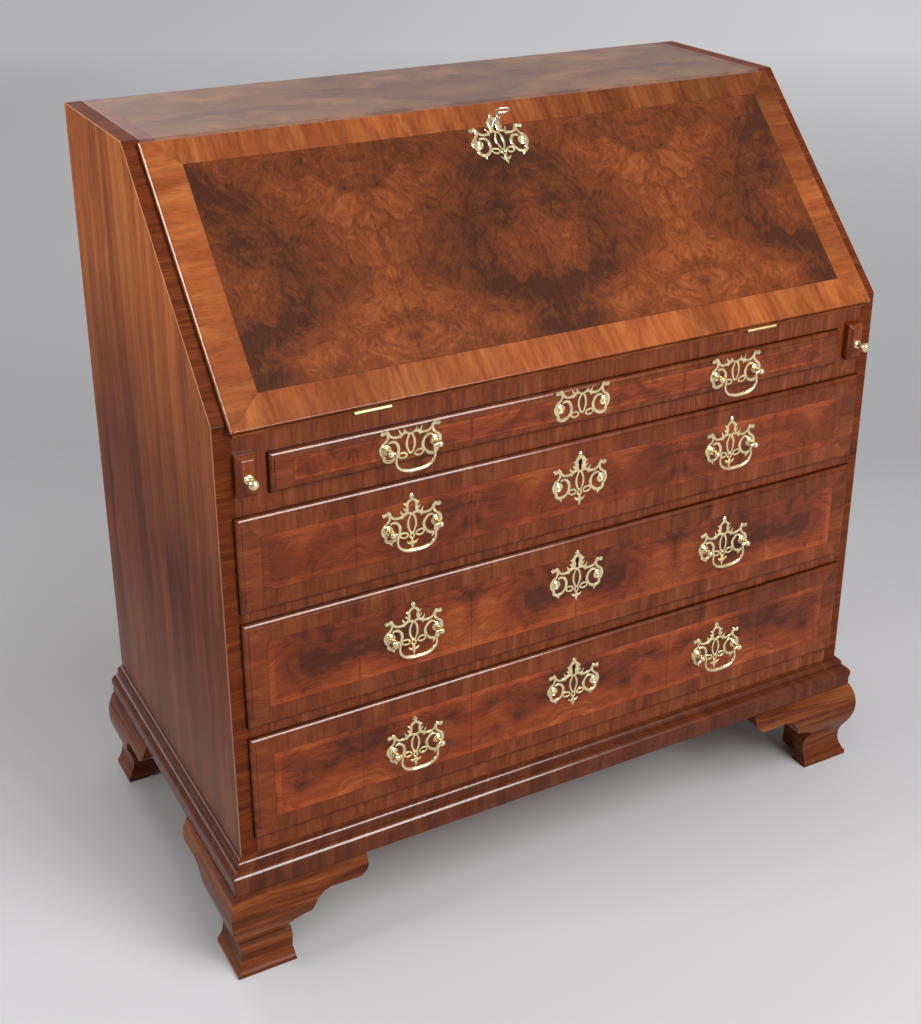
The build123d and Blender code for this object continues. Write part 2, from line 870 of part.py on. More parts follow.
# Handle post: a collar on the plate, a turned ball head bored for the bail, a square shank
ball_shoulder_share = 0.87
ball_tip_share = 0.3
post_profile = (
    (plate_thickness, collar_radius),
    (plate_thickness + collar_height, neck_radius),
    (bail_reach - ball_radius, neck_radius),
    (bail_reach - ball_radius / 2, ball_radius * ball_shoulder_share),
    (bail_reach + ball_radius / 2, ball_radius * ball_shoulder_share),
    (bail_reach + ball_radius, ball_radius * ball_tip_share),
)
shank_length = front_depth + nut_thickness + panel_gap
with BuildPart() as post_right:
    add(turned(post_profile, brass_sides))
    with BuildSketch(facing(-plate_thickness)):
        Rectangle(post_shank, post_shank)
    extrude(amount=-plate_thickness - shank_length)
    with BuildSketch(facing(front_depth + nut_thickness)):
        RegularPolygon(nut_radius, brass_sides)
    extrude(amount=nut_thickness)
    with BuildSketch(across(bail_pin_depth - ball_radius, -bail_reach, 0)):
        RegularPolygon(bail_end_radius + bail_pin_gap, brass_sides)
    extrude(amount=-bail_pin_depth - overrun, mode=Mode.SUBTRACT)
post_left = mirrored(post_right.part)[0]

# Swan-neck bail: its right half from the pin in the ball to the middle of the grip,
# as shares of half the post spacing and of the drop. It swells from the pins to the grip.
bail_shares = [
    (0.945, 0), (0.845, 0), (0.765, -0.13), (0.79, -0.42), (0.73, -0.7), (0.48, -0.93), (0, -1),
]
bail_half = outline(bail_shares, plate_unit, bail_drop)
bail_path = bail_half + [(-x, z) for x, z in reversed(bail_half[:-1])]
swelling = bail_middle_radius - bail_end_radius
outer_edge = []
inner_edge = []
for i, (x, z) in enumerate(bail_path):
    before = bail_path[max(i - 1, 0)]
    after = bail_path[min(i + 1, len(bail_path) - 1)]
    run = math.dist(before, after)
    radius = bail_end_radius - swelling * z / bail_drop
    out_x = radius * (before[1] - after[1]) / run
    out_z = radius * (after[0] - before[0]) / run
    outer_edge.append((x + out_x, z + out_z))
    inner_edge.append((x - out_x, z - out_z))
side_profile = [
    (bail_end_radius, bail_end_radius), (bail_middle_radius, -bail_drop - bail_middle_radius),
]
with BuildPart() as bail:
    with BuildSketch(Plane.XZ):
        Polygon(*outer_edge, *reversed(inner_edge), align=None)
    extrude(amount=bail_middle_radius, both=True)
    with BuildSketch(Plane.YZ):
        Polygon(*symmetric(side_profile), align=None)
    extrude(amount=plate_unit, both=True, mode=Mode.INTERSECT)
    faces_front_to_back = bail.faces().sort_by(Axis.Y)
    chamfer(faces_front_to_back[0].edges() + faces_front_to_back[-1].edges(), bail_arris)

# Drawer lock: a plain closed case with a shallow keyhole
lock_back = front + front_body_thickness
lock_front = lock_back - drawer_lock_thickness


def drawer_lock(head, key_level):
    """The brass lock case let into the inner face of a drawer front, under its top edge."""
    with BuildPart() as case:
        add(
            board(
                around(0, drawer_lock_width / 2),
                (lock_front, lock_back),
                (head - drawer_lock_height, head),
            )
        )
        with BuildSketch(facing(lock_front)):
            with Locations((0, key_level)):
                keyhole()
        extrude(amount=-drawer_lock_thickness / 2, mode=Mode.SUBTRACT)
    return case.part


# Drawers
def drawer_front(half_opening, floor, head, post_level, key_level):
    """A lipped, thumb-moulded drawer front, bored for its handles and cut for its lock."""
    lip_half = half_opening + lip_overlap
    lip_level = (floor - lip_overlap, head + lip_overlap)
    field_level = (lip_level[0] + field_inset, lip_level[1] - field_inset)
    body_head = head - drawer_head_gap
    hole = post_shank + 2 * shank_gap
    posts = [side + post for side in around(0, handle_spacing / 2) for post in around(0, plate_unit)]
    with BuildPart() as piece:
        add(board(around(0, lip_half), (lip_face + field_raise, front - seat_gap), lip_level))
        fillet(piece.faces().sort_by(Axis.Y)[0].edges(), thumb_round)
        add(
            board(
                around(0, lip_half - field_inset), (lip_face, lip_face + field_raise), field_level
            )
        )
        add(
            board(
                around(0, half_opening - panel_gap),
                (front - seat_gap, front + front_body_thickness),
                (floor + seat_gap, body_head),
            )
        )
        with BuildSketch(facing(lip_face)):
            with Locations(*[(post, post_level) for post in posts]):
                Rectangle(hole, hole)
            if key_level:
                with Locations((0, key_level)):
                    keyhole()
        extrude(amount=-front_depth, mode=Mode.SUBTRACT)
        if key_level:
            add(
                board(
                    around(0, drawer_lock_width / 2),
                    (lock_front, lock_back + overrun),
                    (body_head - drawer_lock_height, body_head + overrun),
                ),
                mode=Mode.SUBTRACT,
            )
    return piece.part


def drawer_box(half_opening, floor, head):
    """Sides, back and bottom of a drawer; the bottom runs under the back."""
    outer = half_opening - panel_gap
    inner = outer - drawer_side
    start = front + front_body_thickness
    end = inner_back - drawer_back_gap
    level = (floor + seat_gap, head - drawer_head_gap)
    bottom_level = (level[0] + bottom_groove, level[0] + bottom_groove + drawer_bottom)
    return [
        board((-outer, -inner), (start, end), level),
        board((inner, outer), (start, end), level),
        board(around(0, inner), (end - drawer_back, end), (bottom_level[1], level[1])),
        board(around(0, inner), (start, end), bottom_level),
    ]


def drawer(name, half_opening, floor, height, post_height, plate_raise, locked):
    """A whole drawer: its front, its box, its brasses and the two bails."""
    head = floor + height
    post_level = floor + post_height
    plate_level = post_level + plate_raise
    key_level = plate_level + keyhole_rise if locked else None
    handles = around(0, handle_spacing / 2)
    handle_plate = pierced_plate(Plane.XZ, locked, False)
    middle_plate = pierced_plate(Plane.XZ, locked, True)
    brasses = [placed(middle_plate, (0, lip_face, plate_level))]
    for x in handles:
        left_place = (x - plate_unit, lip_face, post_level)
        right_place = (x + plate_unit, lip_face, post_level)
        brasses.append(placed(handle_plate, (x, lip_face, post_level)))
        brasses.append(placed(post_left, left_place))
        brasses.append(placed(post_right.part, right_place))
    if locked:
        brasses.append(drawer_lock(head - drawer_head_gap, key_level))
    save(f"drawer_front_{name}", drawer_front(half_opening, floor, head, post_level, key_level))
    save(f"drawer_box_{name}", *drawer_box(half_opening, floor, head))
    save(f"drawer_brasses_{name}", *brasses)
    for side, x in zip(("left", "right"), handles):
        save(f"bail_{name}_{side}", placed(bail.part, (x, lip_face - bail_reach, post_level)))


drawer(
    "lower",
    half_inner,
    bottom_opening_floor,
    lower_opening_height,
    lower_post_height,
    lower_plate_raise,
    True,
)
drawer(
    "middle",
    half_inner,
    middle_opening_floor,
    middle_opening_height,
    middle_post_height,
    middle_plate_raise,
    True,
)
drawer(
    "upper",
    half_inner,
    upper_opening_floor,
    upper_opening_height,
    upper_post_height,
    upper_plate_raise,
    True,
)
drawer(
    "top",
    top_half_opening,
    top_opening_floor,
    top_opening_height,
    top_post_height,
    top_plate_raise,
    False,
)

# Lopers: sliding bearers with bevelled heads, bored for their knobs' spigots
loper_face = front - loper_reach
loper_middle = half_inner - loper_width / 2
knob_level = (top_opening_floor + desk_under) / 2 - loper_knob_sink
with BuildPart() as loper_right:
    add(
        board(
            around(loper_middle, loper_width / 2 - seat_gap),
            (loper_face, inner_back - loper_back_gap),
            (top_opening_floor + seat_gap, desk_under - seat_gap),
        )
    )
    chamfer(loper_right.faces().sort_by(Axis.Y)[0].edges(), loper_bevel)
    with BuildSketch(facing(loper_face)):
        with Locations((loper_middle, knob_level)):
            RegularPolygon(spigot_radius + seat_gap, turning_sides)
    extrude(amount=-spigot_length - seat_gap, mode=Mode.SUBTRACT)
save("loper_right", loper_right.part)
save("loper_left", *mirrored(loper_right.part))

with BuildPart() as loper_knob:
    add(knob(loper_knob_length, loper_knob_radius, turning_sides))
    with BuildSketch(facing(0)):
        RegularPolygon(spigot_radius, turning_sides)
    extrude(amount=-spigot_length)
loper_knob_right = placed(loper_knob.part, (loper_middle, loper_face, knob_level))
save("loper_knob_right", loper_knob_right)
save("loper_knob_left", *mirrored(loper_knob_right))

# Desk interior: uprights beside the cupboard, shelves and pigeonhole dividers
fall_corner = front + fall_body_top * slope_cos + fall_inset * slope_sin
interior_front = fall_corner + interior_clearance
interior_span = (interior_front, inner_back)
cupboard_half = cupboard_width / 2
bank_start = cupboard_half + upright_thickness
bank_width = half_inner - bank_start
shelf_floor = desk_height + letter_drawer_height
shelf_head = shelf_floor + interior_wall
cupboard_head = desk_height + cupboard_height
drawer_wall = bank_start + (bank_width - interior_wall) / 2
hole_width = (bank_width - (pigeonhole_count - 1) * pigeonhole_divider) / pigeonhole_count
hole_pitch = hole_width + pigeonhole_divider
hole_starts = [bank_start + hole * hole_pitch for hole in range(pigeonhole_count)]
right_shelf = board((bank_start, half_inner), interior_span, (shelf_floor, shelf_head))
cupboard_shelf = board(
    around(0, cupboard_half), interior_span, (cupboard_head, cupboard_head + interior_wall)
)
save("pigeonhole_shelves", right_shelf, *mirrored(right_shelf), cupboard_shelf)

right_walls = [
    board((cupboard_half, bank_start), interior_span, (desk_height, top_under)),
    board((drawer_wall, drawer_wall + interior_wall), interior_span, (desk_height, shelf_floor)),
]
for start in hole_starts[1:]:
    right_walls.append(
        board((start - pigeonhole_divider, start), interior_span, (shelf_head, top_under))
    )
save("pigeonhole_dividers", *right_walls, *mirrored(*right_walls))


# Half of a pigeonhole's shaped head, as shares of half its width and of its drop
arcade_shares = [
    (1, 0), (1, -1), (0.92, -1), (0.85, -0.52), (0.66, -0.26), (0.4, -0.24), (0.14, -0.42),
    (0, -0.6),
]


def arcade(x_low, width):
    """A shaped head for a pigeonhole: two arches that meet in a point hanging in the middle."""
    with BuildPart() as piece:
        with BuildSketch(facing(interior_front)):
            with BuildLine():
                Polyline(*symmetric(outline(arcade_shares, width / 2, arcade_drop)), close=True)
            make_face()
        extrude(amount=-arcade_thickness)
    return placed(piece.part, (x_low + width / 2, 0, top_under))


right_arcades = [arcade(start, hole_width) for start in hole_starts]
save(
    "pigeonhole_arcades",
    *right_arcades,
    *mirrored(*right_arcades),
    arcade(-cupboard_half, cupboard_width),
)


# Letter drawers under the pigeonholes
def letter_drawer(x_low, x_high):
    """A small drawer with a flush front and a turned knob."""
    outer = (x_low + slide_gap, x_high - slide_gap)
    inner = (outer[0] + letter_drawer_side, outer[1] - letter_drawer_side)
    start = interior_front + letter_drawer_front
    end = inner_back - letter_drawer_back_gap
    level = (desk_height + seat_gap, shelf_floor - panel_gap)
    bottom_top = level[0] + letter_drawer_bottom
    middle = (x_low + x_high) / 2
    return [
        board(outer, (interior_front, start), level),
        board((outer[0], inner[0]), (start, end), level),
        board((inner[1], outer[1]), (start, end), level),
        board(inner, (end - letter_drawer_side, end), (bottom_top, level[1])),
        board(inner, (start, end), (level[0], bottom_top)),
        placed(
            knob(small_knob_length, small_knob_radius, brass_sides),
            (middle, interior_front, (level[0] + level[1]) / 2),
        ),
    ]


inner_letter_drawer = letter_drawer(bank_start, drawer_wall)
outer_letter_drawer = letter_drawer(drawer_wall + interior_wall, half_inner)
save("letter_drawer_inner_right", *inner_letter_drawer)
save("letter_drawer_outer_right", *outer_letter_drawer)
save("letter_drawer_inner_left", *mirrored(*inner_letter_drawer))
save("letter_drawer_outer_left", *mirrored(*outer_letter_drawer))

# Cupboard door: stiles and rails about a fielded panel
door_low = -cupboard_half + door_gap
door_high = cupboard_half - door_gap
door_floor = desk_height + door_gap
door_head = cupboard_head - door_gap
door_span = (interior_front, interior_front + door_thickness)
panel_half = door_high - door_frame
panel_level = (door_floor + door_frame, door_head - door_frame)
panel_middle = (panel_level[0] + panel_level[1]) / 2
panel_face = interior_front + (door_thickness - door_panel_thickness) / 2
with BuildPart() as door_panel:
    add(board(around(0, panel_half), (panel_face, panel_face + door_panel_thickness), panel_level))
    field_front = panel_face - door_field_raise
    add(board(around(0, panel_half), (field_front, panel_face), panel_level))
    field_edges = door_panel.faces().sort_by(Axis.Y)[0].edges()
    chamfer(field_edges, door_field_raise, door_panel_bevel)
save(
    "cupboard_door",
    board((door_low, -panel_half), door_span, (door_floor, door_head)),
    board((panel_half, door_high), door_span, (door_floor, door_head)),
    board(around(0, panel_half), door_span, (door_floor, panel_level[0])),
    board(around(0, panel_half), door_span, (panel_level[1], door_head)),
    door_panel.part,
    placed(
        knob(small_knob_length, small_knob_radius, brass_sides),
        (door_high - door_frame / 2, interior_front, panel_middle),
    ),
)

# Cupboard hinges: leaves laid on the fronts of the upright and of the door's stile
door_axis_y = interior_front - door_knuckle_radius
door_leaf_span = (interior_front - door_leaf_thickness, interior_front)
knuckle_third = door_hinge_height / 3
leaf_clear = door_knuckle_radius + seat_gap


def upright_knuckle(z):
    """A knuckle of the cupboard's hinges over the span z."""
    with BuildPart() as piece:
        with BuildSketch(Plane(origin=(-cupboard_half, door_axis_y, z[0]))):
            RegularPolygon(door_knuckle_radius, brass_sides)
        extrude(amount=z[1] - z[0])
    return piece.part


def frame_hinge(z):
    """The upright's leaf, with the upper and lower knuckles and the pin."""
    leaf_edge = -cupboard_half - leaf_clear
    lower = (z, z + knuckle_third - seat_gap)
    upper = (z + 2 * knuckle_third + seat_gap, z + door_hinge_height)
    with BuildPart() as hinge:
        add(board((leaf_edge - door_leaf_width, leaf_edge), door_leaf_span, (lower[0], upper[1])))
        for span in (lower, upper):
            add(board((leaf_edge, -cupboard_half), door_leaf_span, span))
            add(upright_knuckle(span))
        with BuildSketch(Plane(origin=(-cupboard_half, door_axis_y, lower[0]))):
            Circle(door_pin_radius)
        extrude(amount=door_hinge_height)
    return hinge.part


def door_hinge(z):
    """The door's leaf, with the middle knuckle."""
    leaf_edge = -cupboard_half + leaf_clear
    middle = (z + knuckle_third, z + 2 * knuckle_third)
    with BuildPart() as hinge:
        add(
            board(
                (leaf_edge, leaf_edge + door_leaf_width), door_leaf_span, (z, z + door_hinge_height)
            )
        )
        add(board((-cupboard_half, leaf_edge), door_leaf_span, middle))
        add(upright_knuckle(middle))
        with BuildSketch(Plane(origin=(-cupboard_half, door_axis_y, middle[0]))):
            RegularPolygon(door_pin_radius + pin_gap, turning_sides)
        extrude(amount=knuckle_third, mode=Mode.SUBTRACT)
    return hinge.part


hinge_levels = (door_floor + door_hinge_inset, door_head - door_hinge_inset - door_hinge_height)
save("cupboard_hinge_frame", *[frame_hinge(z) for z in hinge_levels])
save("cupboard_hinge_door", *[door_hinge(z) for z in hinge_levels])
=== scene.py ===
"""The looks of a walnut slant-front writing bureau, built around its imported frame.

Lengths are in metres, as in the frame: X runs along the front, Y from front to back and Z up.
The brasses' outlines and places are in millimetres, and become metres where they are drawn.
"""

import math

import bmesh
import bpy
from mathutils import Matrix, Vector


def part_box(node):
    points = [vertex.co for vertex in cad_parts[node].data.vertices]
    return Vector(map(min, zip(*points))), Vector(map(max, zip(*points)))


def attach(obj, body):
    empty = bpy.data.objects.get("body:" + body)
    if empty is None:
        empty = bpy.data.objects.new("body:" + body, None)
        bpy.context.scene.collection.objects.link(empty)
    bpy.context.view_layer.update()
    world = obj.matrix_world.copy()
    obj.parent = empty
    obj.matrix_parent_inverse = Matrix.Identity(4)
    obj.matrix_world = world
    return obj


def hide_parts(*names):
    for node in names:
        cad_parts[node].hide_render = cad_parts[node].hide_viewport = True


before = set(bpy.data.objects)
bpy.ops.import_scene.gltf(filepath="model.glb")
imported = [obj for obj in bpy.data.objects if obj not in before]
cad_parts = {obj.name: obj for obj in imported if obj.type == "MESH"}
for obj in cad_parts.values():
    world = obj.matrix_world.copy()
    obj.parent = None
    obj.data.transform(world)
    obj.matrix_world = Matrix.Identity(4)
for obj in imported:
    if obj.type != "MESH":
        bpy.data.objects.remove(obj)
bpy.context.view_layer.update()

bl_info = {
    "name": "Writing Bureau Looks",
    "version": (1, 0, 0),
    "blender": (4, 5, 0),
    "location": "3D View > Sidebar > Bureau",
    "description": "Dresses the packed frame of a walnut writing bureau",
    "category": "Object",
}

MM = 0.001
DRAWERS = ("lower", "middle", "upper", "top")
SIDES = ("left", "right")

# Places of the brasses, in millimetres: the drawers' faces, the posts and the middle plates
DRAWER_FACE = -233.8
HANDLE_X = 232
POST_LEVEL = {"lower": 255, "middle": 418, "upper": 563.5, "top": 667}
PLATE_LEVEL = {"lower": 268.8, "middle": 427.8, "upper": 565, "top": 669.7}
PLATE_UNIT = 31
BAIL_REACH = 13

# Places of the lopers' knobs, in millimetres
LOPER_KNOB_X = 430.5
LOPER_KNOB_FACE = -238.5
LOPER_KNOB_LEVEL = 671

# The desk's interior, in millimetres: its front, the thickness of the letter drawers' fronts and
# where the cupboard door's knob stands
INTERIOR_FRONT = 26.5
LETTER_FRONT = 6
CUPBOARD_KNOB_X = 45.2

# The slope of the fall: its tilt, and in millimetres where its own axes start, how far its face
# stands out, and how far up it the escutcheon and the key lie
SLOPE = math.radians(46)
SLOPE_ORIGIN = Vector((0, -225.5, 733.3))
FALL_PROUD = 8.4
ESCUTCHEON_S = 290.4
KEY_S = 317.4

# Along the key, in millimetres out from the slope: where its plain shank ends, and its ring
KEY_CUT = 24.0
BOW_LEVEL = 40.4

# How far back the crossbanded facings of the rails and the lopers' heads reach
RAIL_FACING_END = -0.222
LOPER_HEAD_END = -0.224

# The veneer on a side's edge starts just past its inner face and ends short of the outer one,
# where a pale line is painted as the highlight on the arris
EDGE_VENEER_GAP = 0.3 * MM
EDGE_VENEER_END = 0.4642
ARRIS_HIGHLIGHT_LINE = 0.4646
ARRIS_HIGHLIGHT_HALF = 0.0004

# Arrises: how sharp one is before wear reaches it, and how much it takes off the mouldings
ARRIS_ANGLE = math.radians(28)
MOULDING_WEAR = 0.5 * MM

# The feet are out of reach above this level, and where a front foot's inner faces meet
FOOT_TOP_HELD = 0.1215
FOOT_INNER_CORNER = Vector((458, -218.5)) * MM

# Veneered panels: the middle, half width and half height of the field inside the border, and a
# leaf's width. The fall's middle is given across and up its slope, in millimetres.
FALL_MIDDLE = (2, 171)
FALL_FIELD = (0.407, 0.144)
FALL_LEAF = 0.205
TOP_MIDDLE_Y = 0.132
TOP_FIELD = (0.425, 0.2)
TOP_LEAF = 0.3

# The drawers' borders at the ends and along the front, and the pale feather band inside them
DRAWER_LEAF = 0.152
DRAWER_END_BORDER = 0.028
DRAWER_BORDER = {"lower": 0.026, "middle": 0.026, "upper": 0.026, "top": 0.011}
DRAWER_FEATHER = {"lower": 0.008, "middle": 0.008, "upper": 0.008, "top": 0.004}

# The pieces of a border, half the width of the dark joints in the veneer, and how far behind the
# face a lip ends
BORDER_PIECE = 0.07
JOINT_HALF = 0.0006
LEAF_JOINT_HALF = 0.0007
LIP_BACK = -0.0088

BACK_PLANKS = 4

# Polishes, as roughness, shine of the shellac and weight of the clear coat
FRONT_POLISH = (0.26, 0.1, 0.2)
SIDE_POLISH = (0.4, 0.03, 0.03)
TOP_POLISH = (0.4, 0.85, 0.02)
DRY_POLISH = (0.7, 0.1, 0)
COAT_ROUGHNESS = 0.07

# How near two points are before they count as one
WELD = 0.00001

# Lamps: name, place, aim, width, length and power, and whether they light the surfaces and show
# in their polish. The last two show in the polish alone.
LAMPS = (
    ("lamp_side", (-3.4, 0.2, 2.6), (0, 0, 0.7), 1.2, 0.4, 45, True, True),
    ("lamp_back", (-0.6, 3.2, 2.9), (0, 0, 0.8), 1.6, 1.6, 40, True, True),
    ("lamp_front", (0.85, -2.7, 2.0), (-0.2, -0.2, 0.5), 1.3, 1.1, 46, True, False),
    ("lamp_glint", (0.75, -2.6, 2.1), (-0.2, -0.2, 0.5), 1.2, 1.5, 230, False, True),
    ("lamp_side_glint", (-3.3, 0.2, 2.7), (0, 0, 0.7), 1.5, 1.2, 240, False, True),
)
OVERHEAD_AIM = (-0.3, 0.52, -0.8)
OVERHEAD_POWER = 1.55
OVERHEAD_SPREAD = math.radians(38)

# The camera stands where the photograph's lines meet: 29 degrees to the left, 23 above
CAMERA_PLACE = (-0.9391, -1.6699, 1.4027)
CAMERA_AIM = (0.4453, 0.8053, -0.3914)
CAMERA_ROLL = math.radians(0.15)
CAMERA_SENSOR = 36
CAMERA_LENS = 54.03
CAMERA_SHIFT = (-0.0163, -0.1092)
CAMERA_REACH = 60


def linear(code):
    """An sRGB hex colour as linear red, green, blue and alpha."""
    shares = [int(code[i : i + 2], 16) / 255 for i in (1, 3, 5)]
    return [s / 12.92 if s <= 0.04045 else ((s + 0.055) / 1.055) ** 2.4 for s in shares] + [1]


def three_tones(*tones):
    """The dark, middle and light tones of a timber, from hex colours or linear ones."""
    return tuple(linear(tone) if isinstance(tone, str) else tone for tone in tones)


def finish_colour(name, code, description):
    """A colour of the finish, as the panel shows it."""
    return bpy.props.FloatVectorProperty(
        name=name, description=description, subtype="COLOR", size=4, min=0, max=1,
        default=linear(code),
    )


def size_setting(name, value, description):
    """A length in metres, as the panel shows it."""
    return bpy.props.FloatProperty(
        name=name, description=description, default=value, min=0, unit="LENGTH", precision=4
    )


class BureauColours(bpy.types.PropertyGroup):
    """Colours of the timbers, the metals and the studio floor."""

    burr_dark: finish_colour("Burr dark", "#482414", "Darkest clouds of the fall's burr veneer")
    burr_mid: finish_colour("Burr middle", "#74391A", "Ground of the burr veneer")
    burr_light: finish_colour("Burr light", "#A4582A", "Lightest swirls of the burr veneer")
    figure_dark: finish_colour("Figure dark", "#4F2211", "Dark flecks of the drawers' veneer")
    figure_mid: finish_colour("Figure middle", "#7E3617", "Ground of the drawers' veneer")
    figure_light: finish_colour("Figure light", "#974A20", "Light curls of the drawers' veneer")
    band_dark: finish_colour("Banding dark", "#8C441E", "Dark streaks of the fall's border")
    band_mid: finish_colour("Banding middle", "#A05326", "Ground of the fall's border")
    band_light: finish_colour("Banding light", "#B76B33", "Light streaks of the fall's border")
    rail_dark: finish_colour("Rail dark", "#642C14", "Dark streaks of the rails")
    rail_mid: finish_colour("Rail middle", "#7A3818", "Ground of the rails and drawer borders")
    rail_light: finish_colour("Rail light", "#8F4B24", "Light streaks of the rails")
    side_top: finish_colour("Side, top", "#BE682E", "Sides of the case near the top")
    side_foot: finish_colour("Side, foot", "#6A3019", "Sides of the case near the floor")
    oak: finish_colour("Oak", "#A8784A", "Linings of the drawers and the desk")
    brass: finish_colour("Brass", "#EAD6A5", "Polished brass of handles and escutcheon")
    steel: finish_colour("Steel", "#B0A99C", "Key and lock")
    floor: finish_colour("Floor", "#D2D1D3", "Pale studio floor")


class BureauSizes(bpy.types.PropertyGroup):
    """Sizes of the fine pieces."""

    eased_edge: size_setting("Eased edge", 0.0008, "Width that wear has rounded from each arris")
    plate_thickness: size_setting("Plate thickness", 0.0014, "Thickness of the pierced plates")
    plate_swell: bpy.props.FloatProperty(
        name="Plate swell", description="Height of a scroll against its width", default=0.46,
        min=0.1, max=1,
    )
    floor_reach: size_setting("Floor reach", 18.0, "Half width of the studio floor")


# Small tools for nodes and meshes


def add_node(tree, kind, inputs=None, stops=None, **settings):
    """Add a node, set its properties, and fill its inputs with values, sockets or whole nodes."""
    made = tree.nodes.new("ShaderNode" + kind)
    for name, value in settings.items():
        setattr(made, name, value)
    for name, value in (inputs or {}).items():
        if isinstance(value, bpy.types.Node):
            value = value.outputs[0]
        if isinstance(value, bpy.types.NodeSocket):
            tree.links.new(value, made.inputs[name])
        else:
            made.inputs[name].default_value = value
    for i, (place, colour) in enumerate(stops or []):
        ramp = made.color_ramp.elements
        stop = ramp[i] if i < 2 else ramp.new(place)
        stop.position = place
        stop.color = colour
    return made


def per_metre(size_mm):
    """Pattern repeats in a metre, from the real size of one in millimetres."""
    return 1000 / size_mm


def new_material(name):
    """An empty node material with its shader, and the tree to fill."""
    material = bpy.data.materials.new(name)
    material.use_nodes = True
    return material, material.node_tree, material.node_tree.nodes["Principled BSDF"]


def level(value):
    """A grey colour ramp stop."""
    return (value, value, value, 1)


def colours():
    """The finishes that the panel holds."""
    return bpy.context.scene.bureau_colours


def sizes():
    """The sizes that the panel holds."""
    return bpy.context.scene.bureau_sizes


def wandered(tree, place, size_mm, amount_mm):
    """The place, pushed about as the growth of the tree pushed the grain."""
    drift = add_node(tree, "TexNoise", {"Vector": place, "Scale": per_metre(size_mm), "Detail": 3})
    centred = add_node(
        tree, "VectorMath", {0: drift.outputs["Color"], 1: (0.5, 0.5, 0.5)}, operation="SUBTRACT"
    )
    push = add_node(
        tree, "VectorMath", {0: centred, "Scale": 2 * amount_mm * MM}, operation="SCALE"
    )
    return add_node(tree, "VectorMath", {0: place, 1: push}, operation="ADD")


def streaks(tree, place, across_mm, along_mm, detail, distortion=0.0):
    """Streaks of a real width and length, with the grain along the place's second axis."""
    stretched = add_node(
        tree,
        "VectorMath",
        {0: place, 1: (per_metre(across_mm), per_metre(along_mm), per_metre(across_mm))},
        operation="MULTIPLY",
    )
    return add_node(
        tree,
        "TexNoise",
        {"Vector": stretched, "Scale": 1, "Detail": detail, "Roughness": 0.6,
         "Distortion": distortion},
    )


def straight_grain(tree, place, tones, across_mm, along_mm, drift_mm=9):
    """Straight-grained timber: long soft streaks, finer dark lines, flecks and open pores."""
    dark, mid, light = tones
    bent = wandered(tree, place, size_mm=220, amount_mm=drift_mm)
    broad = streaks(tree, bent, across_mm, along_mm, detail=4, distortion=0.6)
    fine = streaks(tree, bent, across_mm / 5, along_mm / 2, detail=3)
    # Real pores are 0.2 mm wide and would not show, so they are drawn coarser
    pore = streaks(tree, place, across_mm=1.3, along_mm=13, detail=1)
    ground = add_node(
        tree, "ValToRGB", {"Fac": broad}, stops=[(0.3, dark), (0.72, light), (0.5, mid)]
    )
    lines = add_node(
        tree, "ValToRGB", {"Fac": fine}, stops=[(0.36, level(0.74)), (0.6, level(1.04))]
    )
    pores = add_node(
        tree, "ValToRGB", {"Fac": pore}, stops=[(0.3, level(0.68)), (0.42, level(1))]
    )
    lined = add_node(
        tree, "MixRGB", {"Fac": 0.75, "Color1": ground, "Color2": lines}, blend_type="MULTIPLY"
    )
    fleck = streaks(tree, place, across_mm=7, along_mm=20, detail=3, distortion=0.8)
    flecks = add_node(
        tree, "ValToRGB", {"Fac": fleck}, stops=[(0.62, level(1)), (0.7, level(0.66))]
    )
    opened = add_node(
        tree, "MixRGB", {"Fac": 0.8, "Color1": lined, "Color2": pores}, blend_type="MULTIPLY"
    )
    colour = add_node(
        tree, "MixRGB", {"Fac": 0.7, "Color1": opened, "Color2": flecks}, blend_type="MULTIPLY"
    )
    return colour, pores


def burr_walnut(tree, place, tones):
    """Burr walnut: smoky clouds over a ground of curling, tightly knotted grain."""
    dark, mid, light = tones
    swept = wandered(tree, place, size_mm=130, amount_mm=40)
    curled = wandered(tree, swept, size_mm=40, amount_mm=16)
    cloud = add_node(
        tree, "TexNoise", {"Vector": curled, "Scale": per_metre(150), "Detail": 4,
                           "Roughness": 0.58, "Distortion": 0.5},
    )
    swirl = add_node(
        tree, "TexNoise", {"Vector": curled, "Scale": per_metre(26), "Detail": 7,
                           "Roughness": 0.7, "Distortion": 1.8},
    )
    knotted = wandered(tree, curled, size_mm=16, amount_mm=5)
    hair = streaks(tree, knotted, across_mm=2.4, along_mm=26, detail=3, distortion=0.8)
    mixed = add_node(tree, "Math", {0: cloud, 1: 0.62}, operation="MULTIPLY")
    knots = add_node(tree, "Math", {0: swirl, 1: 0.38, 2: mixed}, operation="MULTIPLY_ADD")

    # The clouds gather along one side of each leaf, and thin out towards its foot
    parts = add_node(tree, "SeparateXYZ", {0: curled})
    heart = add_node(
        tree, "MapRange", {"Value": parts.outputs["X"], "From Min": 0.02, "From Max": 0.18,
                           "To Min": -0.06, "To Max": 0.05},
    )
    rise = add_node(
        tree, "MapRange", {"Value": parts.outputs["Y"], "From Min": -0.14, "From Max": 0.12,
                           "To Min": 0.025, "To Max": -0.03},
    )
    lean = add_node(tree, "Math", {0: heart, 1: rise}, operation="ADD")
    shade = add_node(tree, "Math", {0: knots, 1: lean}, operation="ADD")
    ground = add_node(
        tree, "ValToRGB", {"Fac": shade}, stops=[(0.38, dark), (0.66, light), (0.51, mid)]
    )
    lines = add_node(
        tree, "ValToRGB", {"Fac": hair}, stops=[(0.32, level(0.58)), (0.62, level(1.14))]
    )
    colour = add_node(
        tree, "MixRGB", {"Fac": 0.7, "Color1": ground, "Color2": lines}, blend_type="MULTIPLY"
    )
    return colour, lines


